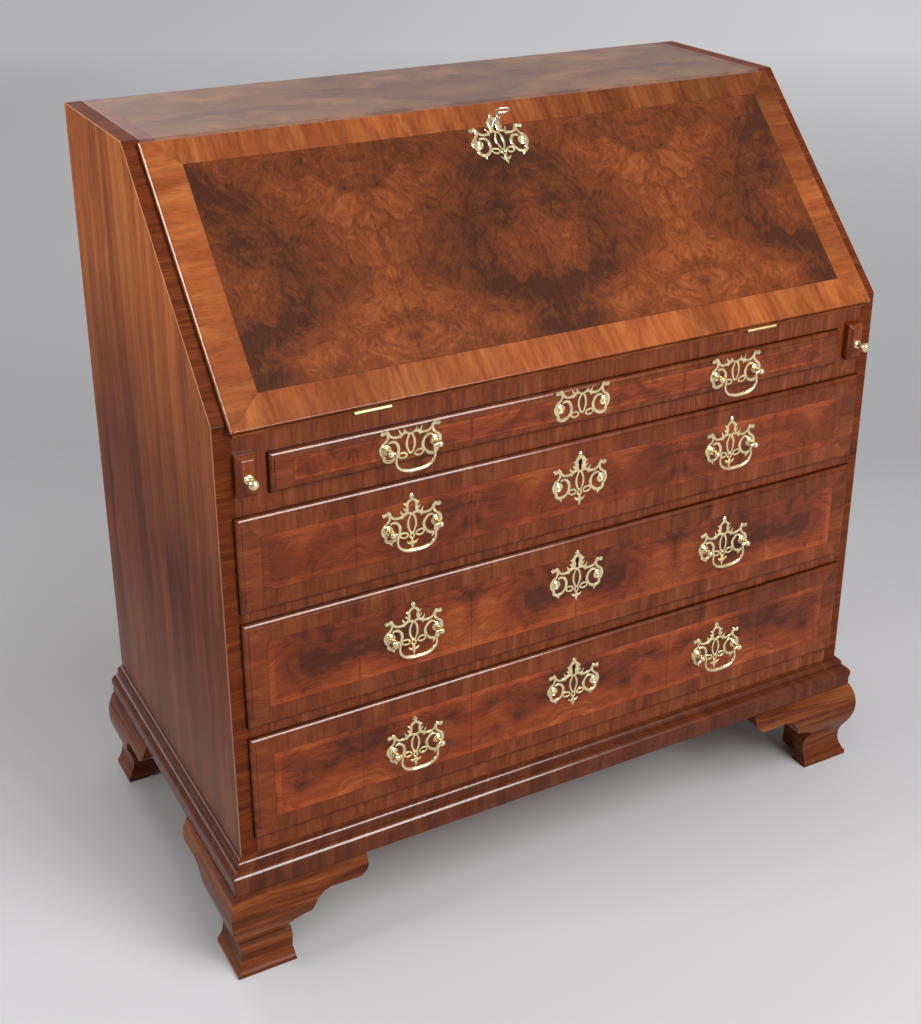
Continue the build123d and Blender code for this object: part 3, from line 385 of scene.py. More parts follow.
def curled_walnut(tree, place, tones):
    """Figured walnut of the drawers and the top: grain that curls round a few dark knots."""
    dark, mid, light = tones
    swept = wandered(tree, place, size_mm=95, amount_mm=46)
    curled = wandered(tree, swept, size_mm=30, amount_mm=8)
    patch = add_node(
        tree, "TexNoise", {"Vector": curled, "Scale": per_metre(80), "Detail": 5,
                           "Roughness": 0.6, "Distortion": 0.7},
    )
    knot = add_node(
        tree, "TexNoise", {"Vector": place, "Scale": per_metre(34), "Detail": 3,
                           "Distortion": 1.2},
    )
    hair = streaks(tree, curled, across_mm=34, along_mm=2.6, detail=3, distortion=0.6)
    ground = add_node(
        tree, "ValToRGB", {"Fac": patch}, stops=[(0.34, dark), (0.68, light), (0.5, mid)]
    )
    lines = add_node(
        tree, "ValToRGB", {"Fac": hair}, stops=[(0.34, level(0.62)), (0.6, level(1.1))]
    )
    colour = add_node(
        tree, "MixRGB", {"Fac": 0.75, "Color1": ground, "Color2": lines}, blend_type="MULTIPLY"
    )
    shadowed = add_node(
        tree, "ValToRGB", {"Fac": knot}, stops=[(0.62, level(1)), (0.7, level(0.5))]
    )
    knotted = add_node(
        tree, "MixRGB", {"Fac": 0.8, "Color1": colour, "Color2": shadowed}, blend_type="MULTIPLY"
    )
    return knotted, lines


def own_tone(tree, colour, share, darkest):
    """A colour made darker or lighter by a share from 0 to 1, as trees differ in tone."""
    shift = add_node(tree, "MapRange", {"Value": share, "To Min": darkest, "To Max": 1.1})
    return add_node(
        tree, "VectorMath", {0: colour, "Scale": shift.outputs[0]}, operation="SCALE"
    )


def french_polish(tree, shader, colour, relief, polish=FRONT_POLISH):
    """Old shellac over timber: a soft shine that dips into the pores, under a thin clear coat."""
    roughness, shine, coat = polish
    shader.inputs["Roughness"].default_value = roughness
    shader.inputs["IOR"].default_value = 1.5
    shader.inputs["Specular IOR Level"].default_value = shine
    shader.inputs["Coat Weight"].default_value = coat
    shader.inputs["Coat Roughness"].default_value = COAT_ROUGHNESS
    bump = add_node(tree, "Bump", {"Strength": 0.1, "Distance": 0.1 * MM, "Height": relief})
    tree.links.new(bump.outputs[0], shader.inputs["Normal"])
    socket = colour if isinstance(colour, bpy.types.NodeSocket) else colour.outputs[0]
    tree.links.new(socket, shader.inputs["Base Color"])


def surface_place(tree, origin, tilt):
    """Object coordinates turned to a face: first axis along the front, second up the face."""
    coords = add_node(tree, "TexCoord")
    return add_node(
        tree,
        "Mapping",
        {"Vector": coords.outputs["Object"], "Location": origin, "Rotation": (tilt, 0, 0)},
        vector_type="TEXTURE",
    )


def turned_place(tree, order):
    """Object coordinates in another order, given as the axes across, along and through."""
    coords = add_node(tree, "TexCoord")
    parts = add_node(tree, "SeparateXYZ", {0: coords.outputs["Object"]})
    across, along, through = (parts.outputs["XYZ".index(axis)] for axis in order)
    return add_node(tree, "CombineXYZ", {0: across, 1: along, 2: through})


def wrapped_place(tree, upright):
    """Coordinates that run on round the corner of the case, with the grain upright or level."""
    coords = add_node(tree, "TexCoord")
    parts = add_node(tree, "SeparateXYZ", {0: coords.outputs["Object"]})
    x, y, z = parts.outputs
    leftward = add_node(tree, "Math", {0: x, 1: 0}, operation="LESS_THAN")
    turned = add_node(tree, "Math", {0: leftward, 1: -2, 2: 1}, operation="MULTIPLY_ADD")
    round_corner = add_node(tree, "Math", {0: y, 1: turned, 2: x}, operation="MULTIPLY_ADD")
    if upright:
        return add_node(tree, "CombineXYZ", {0: round_corner, 1: z, 2: leftward})
    return add_node(tree, "CombineXYZ", {0: z, 1: round_corner, 2: leftward})


def walnut_wrapped(name, upright, tones, across_mm, along_mm, shine):
    """Walnut that turns the corners of the base: mouldings cut crosswise, feet cut lengthwise."""
    material, tree, shader = new_material(name)
    place = wrapped_place(tree, upright)
    colour, relief = straight_grain(tree, place, tones, across_mm, along_mm)
    french_polish(tree, shader, colour, relief, (FRONT_POLISH[0], shine, 2 * shine))
    return material


def plain_board(name, order, tones, across_mm, along_mm, shine=FRONT_POLISH[1]):
    """Solid timber or plain veneer with straight grain along one axis."""
    material, tree, shader = new_material(name)
    place = turned_place(tree, order)
    colour, relief = straight_grain(tree, place, tones, across_mm, along_mm)
    french_polish(tree, shader, colour, relief, (FRONT_POLISH[0], shine, FRONT_POLISH[2]))
    return material


def faced_timber(name, face_at, tones, order, scale_mm, behind_tones, behind_order):
    """Timber with a face of finer wood at its front; behind that its own grain shows."""
    material, tree, shader = new_material(name)
    coords = add_node(tree, "TexCoord")
    parts = add_node(tree, "SeparateXYZ", {0: coords.outputs["Object"]})
    on_face = add_node(tree, "Math", {0: parts.outputs["Y"], 1: face_at}, operation="LESS_THAN")
    face, relief = straight_grain(tree, turned_place(tree, order), tones, *scale_mm)
    behind_place = turned_place(tree, behind_order)
    behind = straight_grain(tree, behind_place, behind_tones, across_mm=16, along_mm=400)[0]
    colour = add_node(tree, "MixRGB", {"Fac": on_face, "Color1": behind, "Color2": face})
    french_polish(tree, shader, colour, relief)
    return material


def oak_planks(name, tones, start, pitch):
    """Upright oak planks side by side, each from its own tree."""
    material, tree, shader = new_material(name)
    place = turned_place(tree, "XZY")
    across = add_node(tree, "SeparateXYZ", {0: place})
    counted = add_node(
        tree, "MapRange", {"Value": across, "From Min": start, "From Max": start + pitch},
        clamp=False,
    )
    number = add_node(tree, "Math", {0: counted}, operation="FLOOR")
    tone = add_node(tree, "TexWhiteNoise", {"W": number}, noise_dimensions="1D")
    own = add_node(tree, "VectorMath", {0: tone.outputs["Color"], 1: place}, operation="ADD")
    colour, relief = straight_grain(
        tree, own, tones, across_mm=16, along_mm=520, drift_mm=12
    )
    toned = own_tone(tree, colour, tone.outputs["Value"], darkest=0.76)
    french_polish(tree, shader, toned, relief, DRY_POLISH)
    return material


def walnut_side(name, head_tones, foot_tones, edge_tones):
    """A solid walnut side: upright grain, lighter towards the head, with veneer across its edges.
    """
    material, tree, shader = new_material(name)
    coords = add_node(tree, "TexCoord")
    parts = add_node(tree, "SeparateXYZ", {0: coords.outputs["Object"]})
    x, y, z = parts.outputs
    place = add_node(tree, "CombineXYZ", {0: y, 1: z, 2: x})
    head, relief = straight_grain(
        tree, place, head_tones, across_mm=30, along_mm=900, drift_mm=14
    )
    foot = straight_grain(tree, place, foot_tones, across_mm=38, along_mm=700, drift_mm=20)[0]
    drift = add_node(
        tree, "TexNoise", {"Vector": place, "Scale": per_metre(300), "Detail": 2}
    )
    height = add_node(tree, "Math", {0: drift, 1: 0.5, 2: z}, operation="MULTIPLY_ADD")
    towards_head = add_node(tree, "MapRange", {"Value": height, "From Min": 0.7, "From Max": 1.22})
    plank = add_node(tree, "MixRGB", {"Fac": towards_head.outputs[0], "Color1": foot, "Color2": head})

    # Painted reflection of the pale floor: towards the floor the wood is mixed with grey, so it
    # looks paler and duller there
    floor_reflection_share = add_node(
        tree, "MapRange", {"Value": z, "From Min": 0.44, "From Max": 0.2, "To Max": 0.33}
    )
    floor_reflected = add_node(
        tree, "MixRGB",
        {"Fac": floor_reflection_share.outputs[0], "Color1": plank, "Color2": linear("#9A7A6C")},
    )

    # The front and sloping edges carry veneer laid across, and a painted highlight: a pale line
    # along the outer arris
    across = add_node(tree, "Math", {0: x}, operation="ABSOLUTE")
    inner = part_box("side_right")[0].x + EDGE_VENEER_GAP
    on_edge = add_node(
        tree, "Math",
        {0: across, 1: (EDGE_VENEER_END + inner) / 2, 2: (EDGE_VENEER_END - inner) / 2},
        operation="COMPARE",
    )
    arris_highlight = add_node(
        tree, "Math", {0: across, 1: ARRIS_HIGHLIGHT_LINE, 2: ARRIS_HIGHLIGHT_HALF}, operation="COMPARE"
    )
    edge_place = add_node(tree, "CombineXYZ", {0: z, 1: x, 2: y})
    edge = straight_grain(
        tree, edge_place, edge_tones, across_mm=9, along_mm=120, drift_mm=3
    )[0]
    timber = add_node(tree, "MixRGB", {"Fac": on_edge, "Color1": floor_reflected, "Color2": edge})
    # Half the painted highlight's pale colour is laid over the arris
    half_arris_highlight = add_node(tree, "Math", {0: arris_highlight, 1: 0.5}, operation="MULTIPLY")
    colour = add_node(
        tree, "MixRGB", {"Fac": half_arris_highlight, "Color1": timber, "Color2": linear("#D9A47C")}
    )
    french_polish(tree, shader, colour, relief, SIDE_POLISH)
    return material


def crossbanding(tree, parts, on_side, tones):
    """Border: short pieces of veneer, each with its grain square to the edge and its own tone."""
    x, y, z = parts.outputs
    upright = add_node(tree, "CombineXYZ", {0: x, 1: y, 2: z})
    level_grain = add_node(tree, "CombineXYZ", {0: y, 1: x, 2: z})
    place = add_node(
        tree, "Mix", {"Factor": on_side, 4: upright, 5: level_grain}, data_type="VECTOR"
    ).outputs[1]

    # Pieces about 70 mm long, unevenly cut, and numbered apart on each side of the border
    along = add_node(tree, "SeparateXYZ", {0: place})
    uneven = add_node(
        tree, "TexNoise", {"W": along, "Scale": per_metre(160)}, noise_dimensions="1D"
    )
    wandering = add_node(tree, "Math", {0: uneven, 1: 0.12, 2: along}, operation="MULTIPLY_ADD")
    cut = add_node(tree, "Math", {0: wandering, 1: BORDER_PIECE}, operation="SNAP")
    across_corner = add_node(tree, "Math", {0: x, 1: y}, operation="ADD")
    half_of = add_node(tree, "Math", {0: across_corner}, operation="SIGN")
    side_key = add_node(tree, "Math", {0: half_of, 1: on_side}, operation="ADD")
    piece = add_node(tree, "Math", {0: side_key, 1: 3.7, 2: cut}, operation="MULTIPLY_ADD")
    tone = add_node(tree, "TexWhiteNoise", {"W": piece}, noise_dimensions="1D")
    colour, relief = straight_grain(
        tree, place, tones, across_mm=26, along_mm=110, drift_mm=12
    )
    toned = own_tone(tree, colour, tone, darkest=0.76)

    # The border is made darker towards its upper right
    to_right = add_node(
        tree, "MapRange", {"Value": x, "From Min": -0.15, "From Max": 0.28, "To Max": 0.5}
    )
    to_head = add_node(tree, "MapRange", {"Value": y, "From Min": -0.02, "From Max": 0.14})
    up_right_darkening = add_node(tree, "Math", {0: to_right, 1: to_head}, operation="MULTIPLY")
    kept = add_node(tree, "Math", {0: 1, 1: up_right_darkening}, operation="SUBTRACT")
    return add_node(tree, "VectorMath", {0: toned, "Scale": kept}, operation="SCALE"), relief


def matched_leaves(tree, parts, leaf, seed, figure):
    """Field: leaves opened like a book, each the mirror of its neighbour, with dark joints."""
    x, y = parts.outputs[:2]
    folded = add_node(tree, "Math", {0: x, 1: leaf}, operation="PINGPONG")
    place = add_node(tree, "CombineXYZ", {0: folded, 1: y, 2: seed})
    figured, relief = figure(tree, place)
    turn = add_node(tree, "Math", {0: x, 1: leaf}, operation="DIVIDE")
    number = add_node(tree, "Math", {0: turn}, operation="FLOOR")
    own_seed = add_node(tree, "Math", {0: number, 1: seed})
    tone = add_node(tree, "TexWhiteNoise", {"W": own_seed}, noise_dimensions="1D")
    toned = own_tone(tree, figured, tone, darkest=0.86)
    gap_left = add_node(
        tree, "Math", {0: folded, 1: 0, 2: LEAF_JOINT_HALF}, operation="COMPARE"
    )
    gap_right = add_node(
        tree, "Math", {0: folded, 1: leaf, 2: LEAF_JOINT_HALF}, operation="COMPARE"
    )
    split = add_node(tree, "Math", {0: gap_left, 1: gap_right}, operation="MAXIMUM")
    faint = add_node(tree, "Math", {0: split, 1: 0.38}, operation="MULTIPLY")
    colour = add_node(
        tree, "MixRGB", {"Fac": faint, "Color1": toned, "Color2": linear("#2A1408")}
    )
    return colour, relief


def lip_shade(tree, parts, lower_edge, drawer):
    """The share of its colour left to the lip just behind the face: painted shade, where shadow
    falls behind the lip.
    """
    y, z = parts.outputs[1:]
    behind = add_node(
        tree, "MapRange", {"Value": z, "From Min": -0.0065, "From Max": -0.0025,
                           "To Min": 0.1, "To Max": 1},
    )
    inside = add_node(tree, "Math", {0: z, 1: LIP_BACK}, operation="LESS_THAN")
    shade = add_node(tree, "Math", {0: behind.outputs[0], 1: inside}, operation="MAXIMUM")
    if not drawer:
        return shade

    # Painted shade: a drawer's lower lip is the darkest, where shadow gathers under it
    lower = add_node(tree, "Math", {0: y, 1: lower_edge}, operation="LESS_THAN")
    below = add_node(
        tree, "MapRange", {"Value": z, "From Min": -0.0055, "From Max": -0.0005,
                           "To Min": 0.12, "To Max": 1},
    )
    lower_lip_shade = add_node(tree, "Math", {0: below.outputs[0], 1: inside}, operation="MAXIMUM")
    return add_node(tree, "Mix", {"Factor": lower, 2: shade, 3: lower_lip_shade})


def banded_panel(name, origin, tilt, half, leaf, seed, figure, band_tones, feather=0.0,
                 polish=FRONT_POLISH):
    """A veneered panel: book-matched leaves inside a mitred border laid with its grain crosswise.

    A drawer front also has a pale feather band of the given width inside its border.
    """
    material, tree, shader = new_material(name)
    parts = add_node(tree, "SeparateXYZ", {0: surface_place(tree, origin, tilt)})
    x, y = parts.outputs[:2]
    from_middle = add_node(tree, "Math", {0: x}, operation="ABSOLUTE")
    past_side = add_node(tree, "Math", {0: from_middle, 1: half[0]}, operation="SUBTRACT")
    from_centre = add_node(tree, "Math", {0: y}, operation="ABSOLUTE")
    past_head = add_node(tree, "Math", {0: from_centre, 1: half[1]}, operation="SUBTRACT")
    past_edge = add_node(tree, "Math", {0: past_side, 1: past_head}, operation="MAXIMUM")
    in_band = add_node(tree, "Math", {0: past_edge, 1: 0}, operation="GREATER_THAN")
    on_side = add_node(tree, "Math", {0: past_side, 1: past_head}, operation="GREATER_THAN")

    banded, band_relief = crossbanding(tree, parts, on_side, band_tones)
    leaves, field_relief = matched_leaves(tree, parts, leaf, seed, figure)
    laid = add_node(tree, "MixRGB", {"Fac": in_band, "Color1": leaves, "Color2": banded})
    relief = add_node(
        tree, "MixRGB", {"Fac": in_band, "Color1": field_relief, "Color2": band_relief}
    )
    if feather:
        offset = add_node(tree, "Math", {0: past_edge, 1: feather / 2}, operation="ADD")
        apart = add_node(tree, "Math", {0: offset}, operation="ABSOLUTE")
        lift = add_node(
            tree, "MapRange", {"Value": apart, "From Min": feather * 0.3,
                               "From Max": feather * 0.65, "To Min": 1.32, "To Max": 1},
        )
        laid = add_node(
            tree, "VectorMath", {0: laid, "Scale": lift.outputs[0]}, operation="SCALE"
        )
    joint = add_node(tree, "Math", {0: past_edge, 1: 0, 2: JOINT_HALF}, operation="COMPARE")
    faint = add_node(tree, "Math", {0: joint, 1: 0.3}, operation="MULTIPLY")
    seamed = add_node(
        tree, "MixRGB", {"Fac": faint, "Color1": laid, "Color2": linear("#2A1408")}
    )
    # Painted shade on the lips just behind the face
    painted_lip_shade = lip_shade(tree, parts, -half[1], bool(feather))
    lip_shaded = add_node(tree, "VectorMath", {0: seamed, "Scale": painted_lip_shade}, operation="SCALE")
    french_polish(tree, shader, lip_shaded, relief, polish)
    return material


def metal(name, colour, roughness, mottle_mm):
    """Hand-polished metal, mottled: a little duller in some patches than in others."""
    material, tree, shader = new_material(name)
    coords = add_node(tree, "TexCoord")
    cloud = add_node(
        tree, "TexNoise", {"Vector": coords.outputs["Object"], "Scale": per_metre(mottle_mm),
                           "Detail": 4},
    )
    dull = [share * 0.72 for share in colour[:3]] + [1]
    tint = add_node(tree, "ValToRGB", {"Fac": cloud}, stops=[(0.3, dull), (0.62, colour)])
    wear = add_node(
        tree, "MapRange", {"Value": cloud, "To Min": roughness * 0.7, "To Max": roughness * 1.5}
    )
    # A film of tarnish keeps it short of a mirror
    shader.inputs["Metallic"].default_value = 0.8
    tree.links.new(tint.outputs[0], shader.inputs["Base Color"])
    tree.links.new(wear.outputs[0], shader.inputs["Roughness"])
    return material


# Pieces


def deselect_all():
    """Leave nothing selected, so an operator acts on the new piece alone."""
    bpy.ops.object.select_all(action="DESELECT")


def make_active(piece):
    """Select one piece and make it the active one."""
    deselect_all()
    piece.select_set(True)
    bpy.context.view_layer.objects.active = piece


def set_finish(piece, material):
    """Give a piece one material."""
    piece.data.materials.clear()
    piece.data.materials.append(material)


def turning(name, profile, sides):
    """A turning up local Z: a disc drawn out and resized from ring to ring of its profile."""
    deselect_all()
    height, radius = profile[0]
    bpy.ops.mesh.primitive_circle_add(
        vertices=sides, radius=radius * MM, fill_type="NGON", location=(0, 0, 0)
    )
    piece = bpy.context.object
    piece.name = name
    bpy.ops.object.mode_set(mode="EDIT")
    bpy.ops.mesh.select_all(action="SELECT")
    bpy.ops.transform.translate(value=(0, 0, height * MM))
    for next_height, next_radius in profile[1:]:
        rise = (0, 0, (next_height - height) * MM)
        bpy.ops.mesh.extrude_region_move(TRANSFORM_OT_translate={"value": rise})
        share = next_radius / radius
        middle = (0, 0, next_height * MM)
        bpy.ops.transform.resize(value=(share, share, 1), center_override=middle)
        height, radius = next_height, next_radius
    bpy.ops.mesh.select_all(action="SELECT")
    bpy.ops.mesh.normals_make_consistent(inside=False)
    bpy.ops.object.mode_set(mode="OBJECT")
    bpy.ops.object.shade_smooth_by_angle(angle=math.radians(40))
    return piece


def as_mesh(curve_object):
    """The mesh of a curve, with its seams closed."""
    make_active(curve_object)
    bpy.ops.object.convert(target="MESH")
    piece = bpy.context.object
    bpy.ops.object.mode_set(mode="EDIT")
    bpy.ops.mesh.select_all(action="SELECT")
    bpy.ops.mesh.remove_doubles(threshold=WELD)
    bpy.ops.mesh.normals_make_consistent(inside=False)
    bpy.ops.object.mode_set(mode="OBJECT")
    bpy.ops.object.shade_smooth_by_angle(angle=math.radians(35))
    return piece


def wire(name, roundness, smoothness, capped=True):
    """An empty curve in millimetre-thick wire, which its knots' radii fatten."""
    curve = bpy.data.curves.new(name, "CURVE")
    curve.dimensions = "3D"
    curve.bevel_depth = MM
    curve.bevel_resolution = roundness
    curve.resolution_u = smoothness
    curve.use_fill_caps = capped
    return curve


def draw_scroll(curve, points, closed=False, fattened=1.14):
    """One scroll of a cast brass, from (x, y, half width) in millimetres, a little fattened."""
    line = curve.splines.new("BEZIER")
    line.bezier_points.add(len(points) - 1)
    for knot, (x, y, half_width) in zip(line.bezier_points, points):
        knot.co = (x * MM, y * MM, 0)
        knot.radius = fattened * half_width
        knot.handle_left_type = knot.handle_right_type = "AUTO"
    line.use_cyclic_u = closed


def drawn(curve):
    """The mesh of a wire or of scrolls."""
    made = bpy.data.objects.new(curve.name, curve)
    bpy.context.collection.objects.link(made)
    return as_mesh(made)


def mirrored(points):
    """The left half's points, from the right half's."""
    return [(-x, y, half_width) for x, y, half_width in points]


def scrolled_plate(name, rings, middle_lines, side_lines):
    """A cast and pierced plate: rounded scrolls that cross one another and lie on the wood."""
    curve = wire(name, roundness=2, smoothness=5)
    for points in rings:
        draw_scroll(curve, points, closed=True)
        if points[0][0] > 0:
            draw_scroll(curve, mirrored(points), closed=True)
    for points in middle_lines:
        draw_scroll(curve, points)
    for points in side_lines:
        draw_scroll(curve, points)
        draw_scroll(curve, mirrored(points))
    piece = drawn(curve)
    flatten = Matrix.Diagonal((1, 1, sizes().plate_swell, 1))
    piece.data.transform(Matrix.Translation((0, 0, sizes().plate_thickness / 2)) @ flatten)
    return piece


def placed_copy(pattern, name, place):
    """A copy of a piece, with its own mesh moved to its place."""
    piece = pattern.copy()
    piece.data = pattern.data.copy()
    piece.name = name
    piece.data.transform(place)
    bpy.context.collection.objects.link(piece)
    return piece


def on_front(x, y, z):
    """The place of a piece drawn flat that faces the front, in millimetres."""
    return Matrix.Translation(Vector((x, y, z)) * MM) @ Matrix.Rotation(math.pi / 2, 4, "X")


def on_fall(s, height):
    """The place of a piece drawn flat that lies on the fall, s up the slope."""
    up = Vector((0, math.cos(SLOPE), math.sin(SLOPE)))
    out = Vector((0, -math.sin(SLOPE), math.cos(SLOPE)))
    spot = (SLOPE_ORIGIN + up * s + out * height) * MM
    return Matrix.Translation(spot) @ Matrix.Rotation(SLOPE, 4, "X")


def merged_copy(nodes, name):
    """One closed copy of the nodes, with their loose triangles merged into whole faces."""
    copies = []
    for node in nodes:
        copy = bpy.data.objects.new(name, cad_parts[node].data.copy())
        bpy.context.collection.objects.link(copy)
        copies.append(copy)
    piece = joined(copies, name)
    make_active(piece)
    bpy.ops.mesh.customdata_custom_splitnormals_clear()
    bpy.ops.object.mode_set(mode="EDIT")
    bpy.ops.mesh.select_all(action="SELECT")
    bpy.ops.mesh.remove_doubles(threshold=WELD)
    bpy.ops.mesh.select_mode(type="FACE")
    bpy.ops.mesh.select_all(action="DESELECT")
    bpy.ops.mesh.select_interior_faces()
    bpy.ops.mesh.delete(type="FACE")
    bpy.ops.mesh.select_all(action="SELECT")
    bpy.ops.mesh.dissolve_limited(angle_limit=math.radians(0.4))
    bpy.ops.object.mode_set(mode="OBJECT")
    return piece


def mark_arrises(piece, held):
    """Mark the outward arrises that wear reaches, but none that touches a held corner."""
    work = bmesh.new()
    work.from_mesh(piece.data)
    wear = work.edges.layers.float.new("bevel_weight_edge")
    for edge in work.edges:
        sharp = edge.calc_face_angle_signed(0) > ARRIS_ANGLE
        edge[wear] = sharp and not any(held(corner.co) for corner in edge.verts)
    work.to_mesh(piece.data)
    work.free()


def eased_piece(node, material, body, width=None, held=lambda corner: False):
    """The merged copy of a timber node, whose arrises a little wear has rounded."""
    piece = merged_copy((node,), f"{node}_eased")
    mark_arrises(piece, held)
    arris_highlight = piece.modifiers.new("worn_arrises", "BEVEL")
    arris_highlight.width = width or sizes().eased_edge
    arris_highlight.segments = 2
    arris_highlight.limit_method = "WEIGHT"
    bpy.ops.object.modifier_apply(modifier=arris_highlight.name)
    bpy.ops.object.shade_smooth_by_angle(angle=math.radians(32))
    even = piece.modifiers.new("even_faces", "WEIGHTED_NORMAL")
    even.keep_sharp = True
    bpy.ops.object.modifier_apply(modifier=even.name)
    set_finish(piece, material)
    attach(piece, body)
    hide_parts(node)
    return piece


def joined(pieces, name):
    """Several pieces as one."""
    make_active(pieces[0])
    for piece in pieces:
        piece.select_set(True)
    bpy.ops.object.join()
    bpy.context.object.name = name
    return bpy.context.object


def drop(*patterns):
    """Remove the patterns that only served to make copies."""
    for pattern in patterns:
        bpy.data.objects.remove(pattern)


# Scrolls of the brasses, right halves, as (x, y, half width) in millimetres from the posts' line
OVAL = [
    (0, 15.2, 1.3), (3.5, 10.8, 1.3), (5.1, 3.2, 1.4), (3.6, -4.6, 1.3), (0, -9.8, 1.2),
    (-3.6, -4.6, 1.3), (-5.1, 3.2, 1.4), (-3.5, 10.8, 1.3),
]
LOZENGE = [(0, -10.2, 0.9), (2.5, -13.4, 1.1), (0, -17.0, 1.1), (-2.5, -13.4, 1.1)]
LOOP = [(15.6, -10.0, 1.1), (10.8, -7.6, 1.2), (5.4, -11.2, 1.2), (10.0, -14.4, 1.2)]
EAR = [
    (4.6, 16.9, 1.5), (8.4, 16.8, 1.9), (12.4, 14.4, 2.0), (18.8, 13.2, 1.6), (24.2, 14.8, 1.6),
    (27.6, 18.4, 1.7), (30.2, 21.6, 2.7), (33.4, 20.8, 2.0), (36.5, 20.7, 2.9), (38.3, 20.5, 1.5),
]
C_SCROLL = [
    (29.0, 19.6, 1.6), (28.8, 15.4, 1.5), (31.6, 10.4, 1.7), (36.4, 6.4, 1.8), (38.1, 0.4, 1.8),
    (36.4, -5.4, 1.8), (34.0, -8.4, 1.8), (33.6, -12.4, 2.0), (29.6, -15.0, 2.2),
    (24.6, -14.8, 2.0), (19.0, -11.0, 1.8), (16.0, -5.0, 1.8), (15.8, 1.0, 1.8),
    (18.6, 6.2, 1.8), (23.4, 8.7, 1.6), (28.4, 7.6, 1.3),
]
SPUR = [(10.6, 15.8, 1.6), (13.0, 18.0, 1.2), (14.8, 22.2, 0.5)]
LOW_SPUR = [(12.4, 14.6, 1.6), (12.3, 12.6, 1.2), (12.2, 10.6, 0.5)]
DROP_SPIKE = [(28.6, -14.6, 2.2), (27.6, -17.4, 1.7), (26.2, -20.8, 0.5)]
FINIAL = [(0, 42.4, 0.9), (0, 39.8, 2.8), (0, 37.2, 2.3), (0, 34.6, 1.8)]
ARCH = [(0, 34.6, 1.7), (4.4, 31.9, 1.8), (6.3, 28.0, 1.8), (5.6, 23.8, 1.7), (6.4, 20.0, 1.8),
        (5.0, 16.8, 1.6)]
KEY_ARCH = [(0, 35.4, 2.2), (4.2, 32.6, 2.6), (5.5, 28.0, 2.6), (4.8, 23.4, 2.8), (5.2, 18.6, 2.8)]
CREST_SPUR = [(6.2, 28.4, 1.5), (8.4, 28.6, 1.1), (10.0, 30.6, 0.5)]
CREST_STEP = [(6.0, 21.6, 1.6), (8.6, 22.0, 1.3), (10.6, 25.0, 0.5)]
COLLAR = [(0, 14.6, 1.2), (2.4, 16.4, 1.4), (4.8, 16.9, 1.5)]
LOW_RISE = [(0, 14.2, 1.3), (4.4, 16.4, 1.4), (7.0, 19.0, 1.0), (8.4, 22.0, 0.5)]
TAIL = [(0, -16.6, 1.2), (0, -19.6, 1.7), (0, -23.0, 2.2), (0, -26.6, 1.7), (0, -30.8, 0.4)]
TAIL_LEAF = [(0.6, -22.4, 1.5), (3.6, -22.6, 1.7), (7.4, -19.6, 0.6)]

# The plates, as the scrolls that they share
WING = [EAR, C_SCROLL, SPUR, LOW_SPUR]
CRESTED = [DROP_SPIKE, CREST_SPUR, CREST_STEP, COLLAR, TAIL_LEAF]
RINGS = [OVAL, LOOP]

# The right half of a bail, from its pin to the middle of its grip, as (x, y, radius)
BAIL_PATH = [
    (29.3, 0, 1.3), (26.2, 0.1, 1.4), (24.0, -2.6, 1.5), (24.4, -7.4, 1.5), (24.8, -12.4, 1.6),
    (21.6, -19.4, 1.9), (12.6, -24.4, 2.2), (0, -25.6, 2.3),
]

# Turned brasses and the key's shank, as (height, radius) in millimetres
BOSS_PROFILE = [
    (0.1, 6.3), (1.2, 6.3), (1.7, 5.8), (1.8, 5.3), (1.3, 4.8), (1.3, 3.6), (1.6, 3.2),
    (1.3, 2.7), (1.3, 1.8), (2.2, 1.5), (2.8, 0.9), (3.0, 0.3),
]
POST_PROFILE = [
    (1.2, 5.0), (1.9, 5.0), (2.5, 4.5), (2.9, 3.4), (3.8, 2.7), (6.5, 2.4), (8.4, 2.5),
    (9.2, 3.2), (10.2, 3.9), (11.6, 4.3), (13.2, 4.4), (14.8, 4.1), (16.2, 3.3), (17.2, 1.9),
    (17.4, 0.9),
]
LOPER_KNOB_PROFILE = [
    (0, 5.7), (1.2, 5.8), (2.0, 5.4), (2.8, 3.4), (4.2, 2.7), (8.4, 2.5), (10.4, 2.9),
    (12.2, 4.9), (13.8, 6.1), (15.6, 6.5), (17.4, 6.2), (19.2, 5.0), (20.4, 3.2), (20.98, 1.3),
]
SMALL_KNOB_PROFILE = [
    (0, 5.7), (1.3, 5.8), (2.1, 4.6), (2.6, 3.2), (4.4, 2.8), (6.4, 2.9), (7.4, 4.6),
    (8.4, 5.8), (10.1, 6.4), (11.8, 5.4), (13.0, 3.2), (13.3, 1.2),
]
KEY_SHANK_PROFILE = [
    (24.0, 2.5), (25.6, 2.4), (26.0, 3.0), (27.0, 3.3), (28.0, 2.9), (28.6, 2.0), (31.0, 1.8),
    (33.4, 2.0), (34.6, 2.3), (35.8, 1.8), (36.4, 1.0),
]

# The ring that the fingers turn, as (x, y, half width) in millimetres
KEY_BOW = [
    (9.6, 0, 1.0), (7.4, 3.9, 0.9), (0, 5.0, 0.9), (-7.4, 3.9, 0.9), (-9.6, 0, 1.0),
    (-6.5, -4.0, 1.1), (0, -5.0, 1.5), (6.5, -4.0, 1.1),
]


def whole_plate(plate, boss, name, place):
    """A plate at its place, with its two engraved bosses."""
    parts = [placed_copy(plate, name, place)]
    for step in (-PLATE_UNIT, PLATE_UNIT):
        spot = place @ Matrix.Translation((step * MM, 0, 0))
        parts.append(placed_copy(boss, "boss", spot))
    return joined(parts, name)


def swan_neck_bail(name):
    """A bail drawn as round wire that thickens from its pins to the grip."""
    curve = wire(name, roundness=4, smoothness=6)
    draw_scroll(curve, BAIL_PATH + mirrored(BAIL_PATH[-2::-1]), fattened=1)
    return drawn(curve)


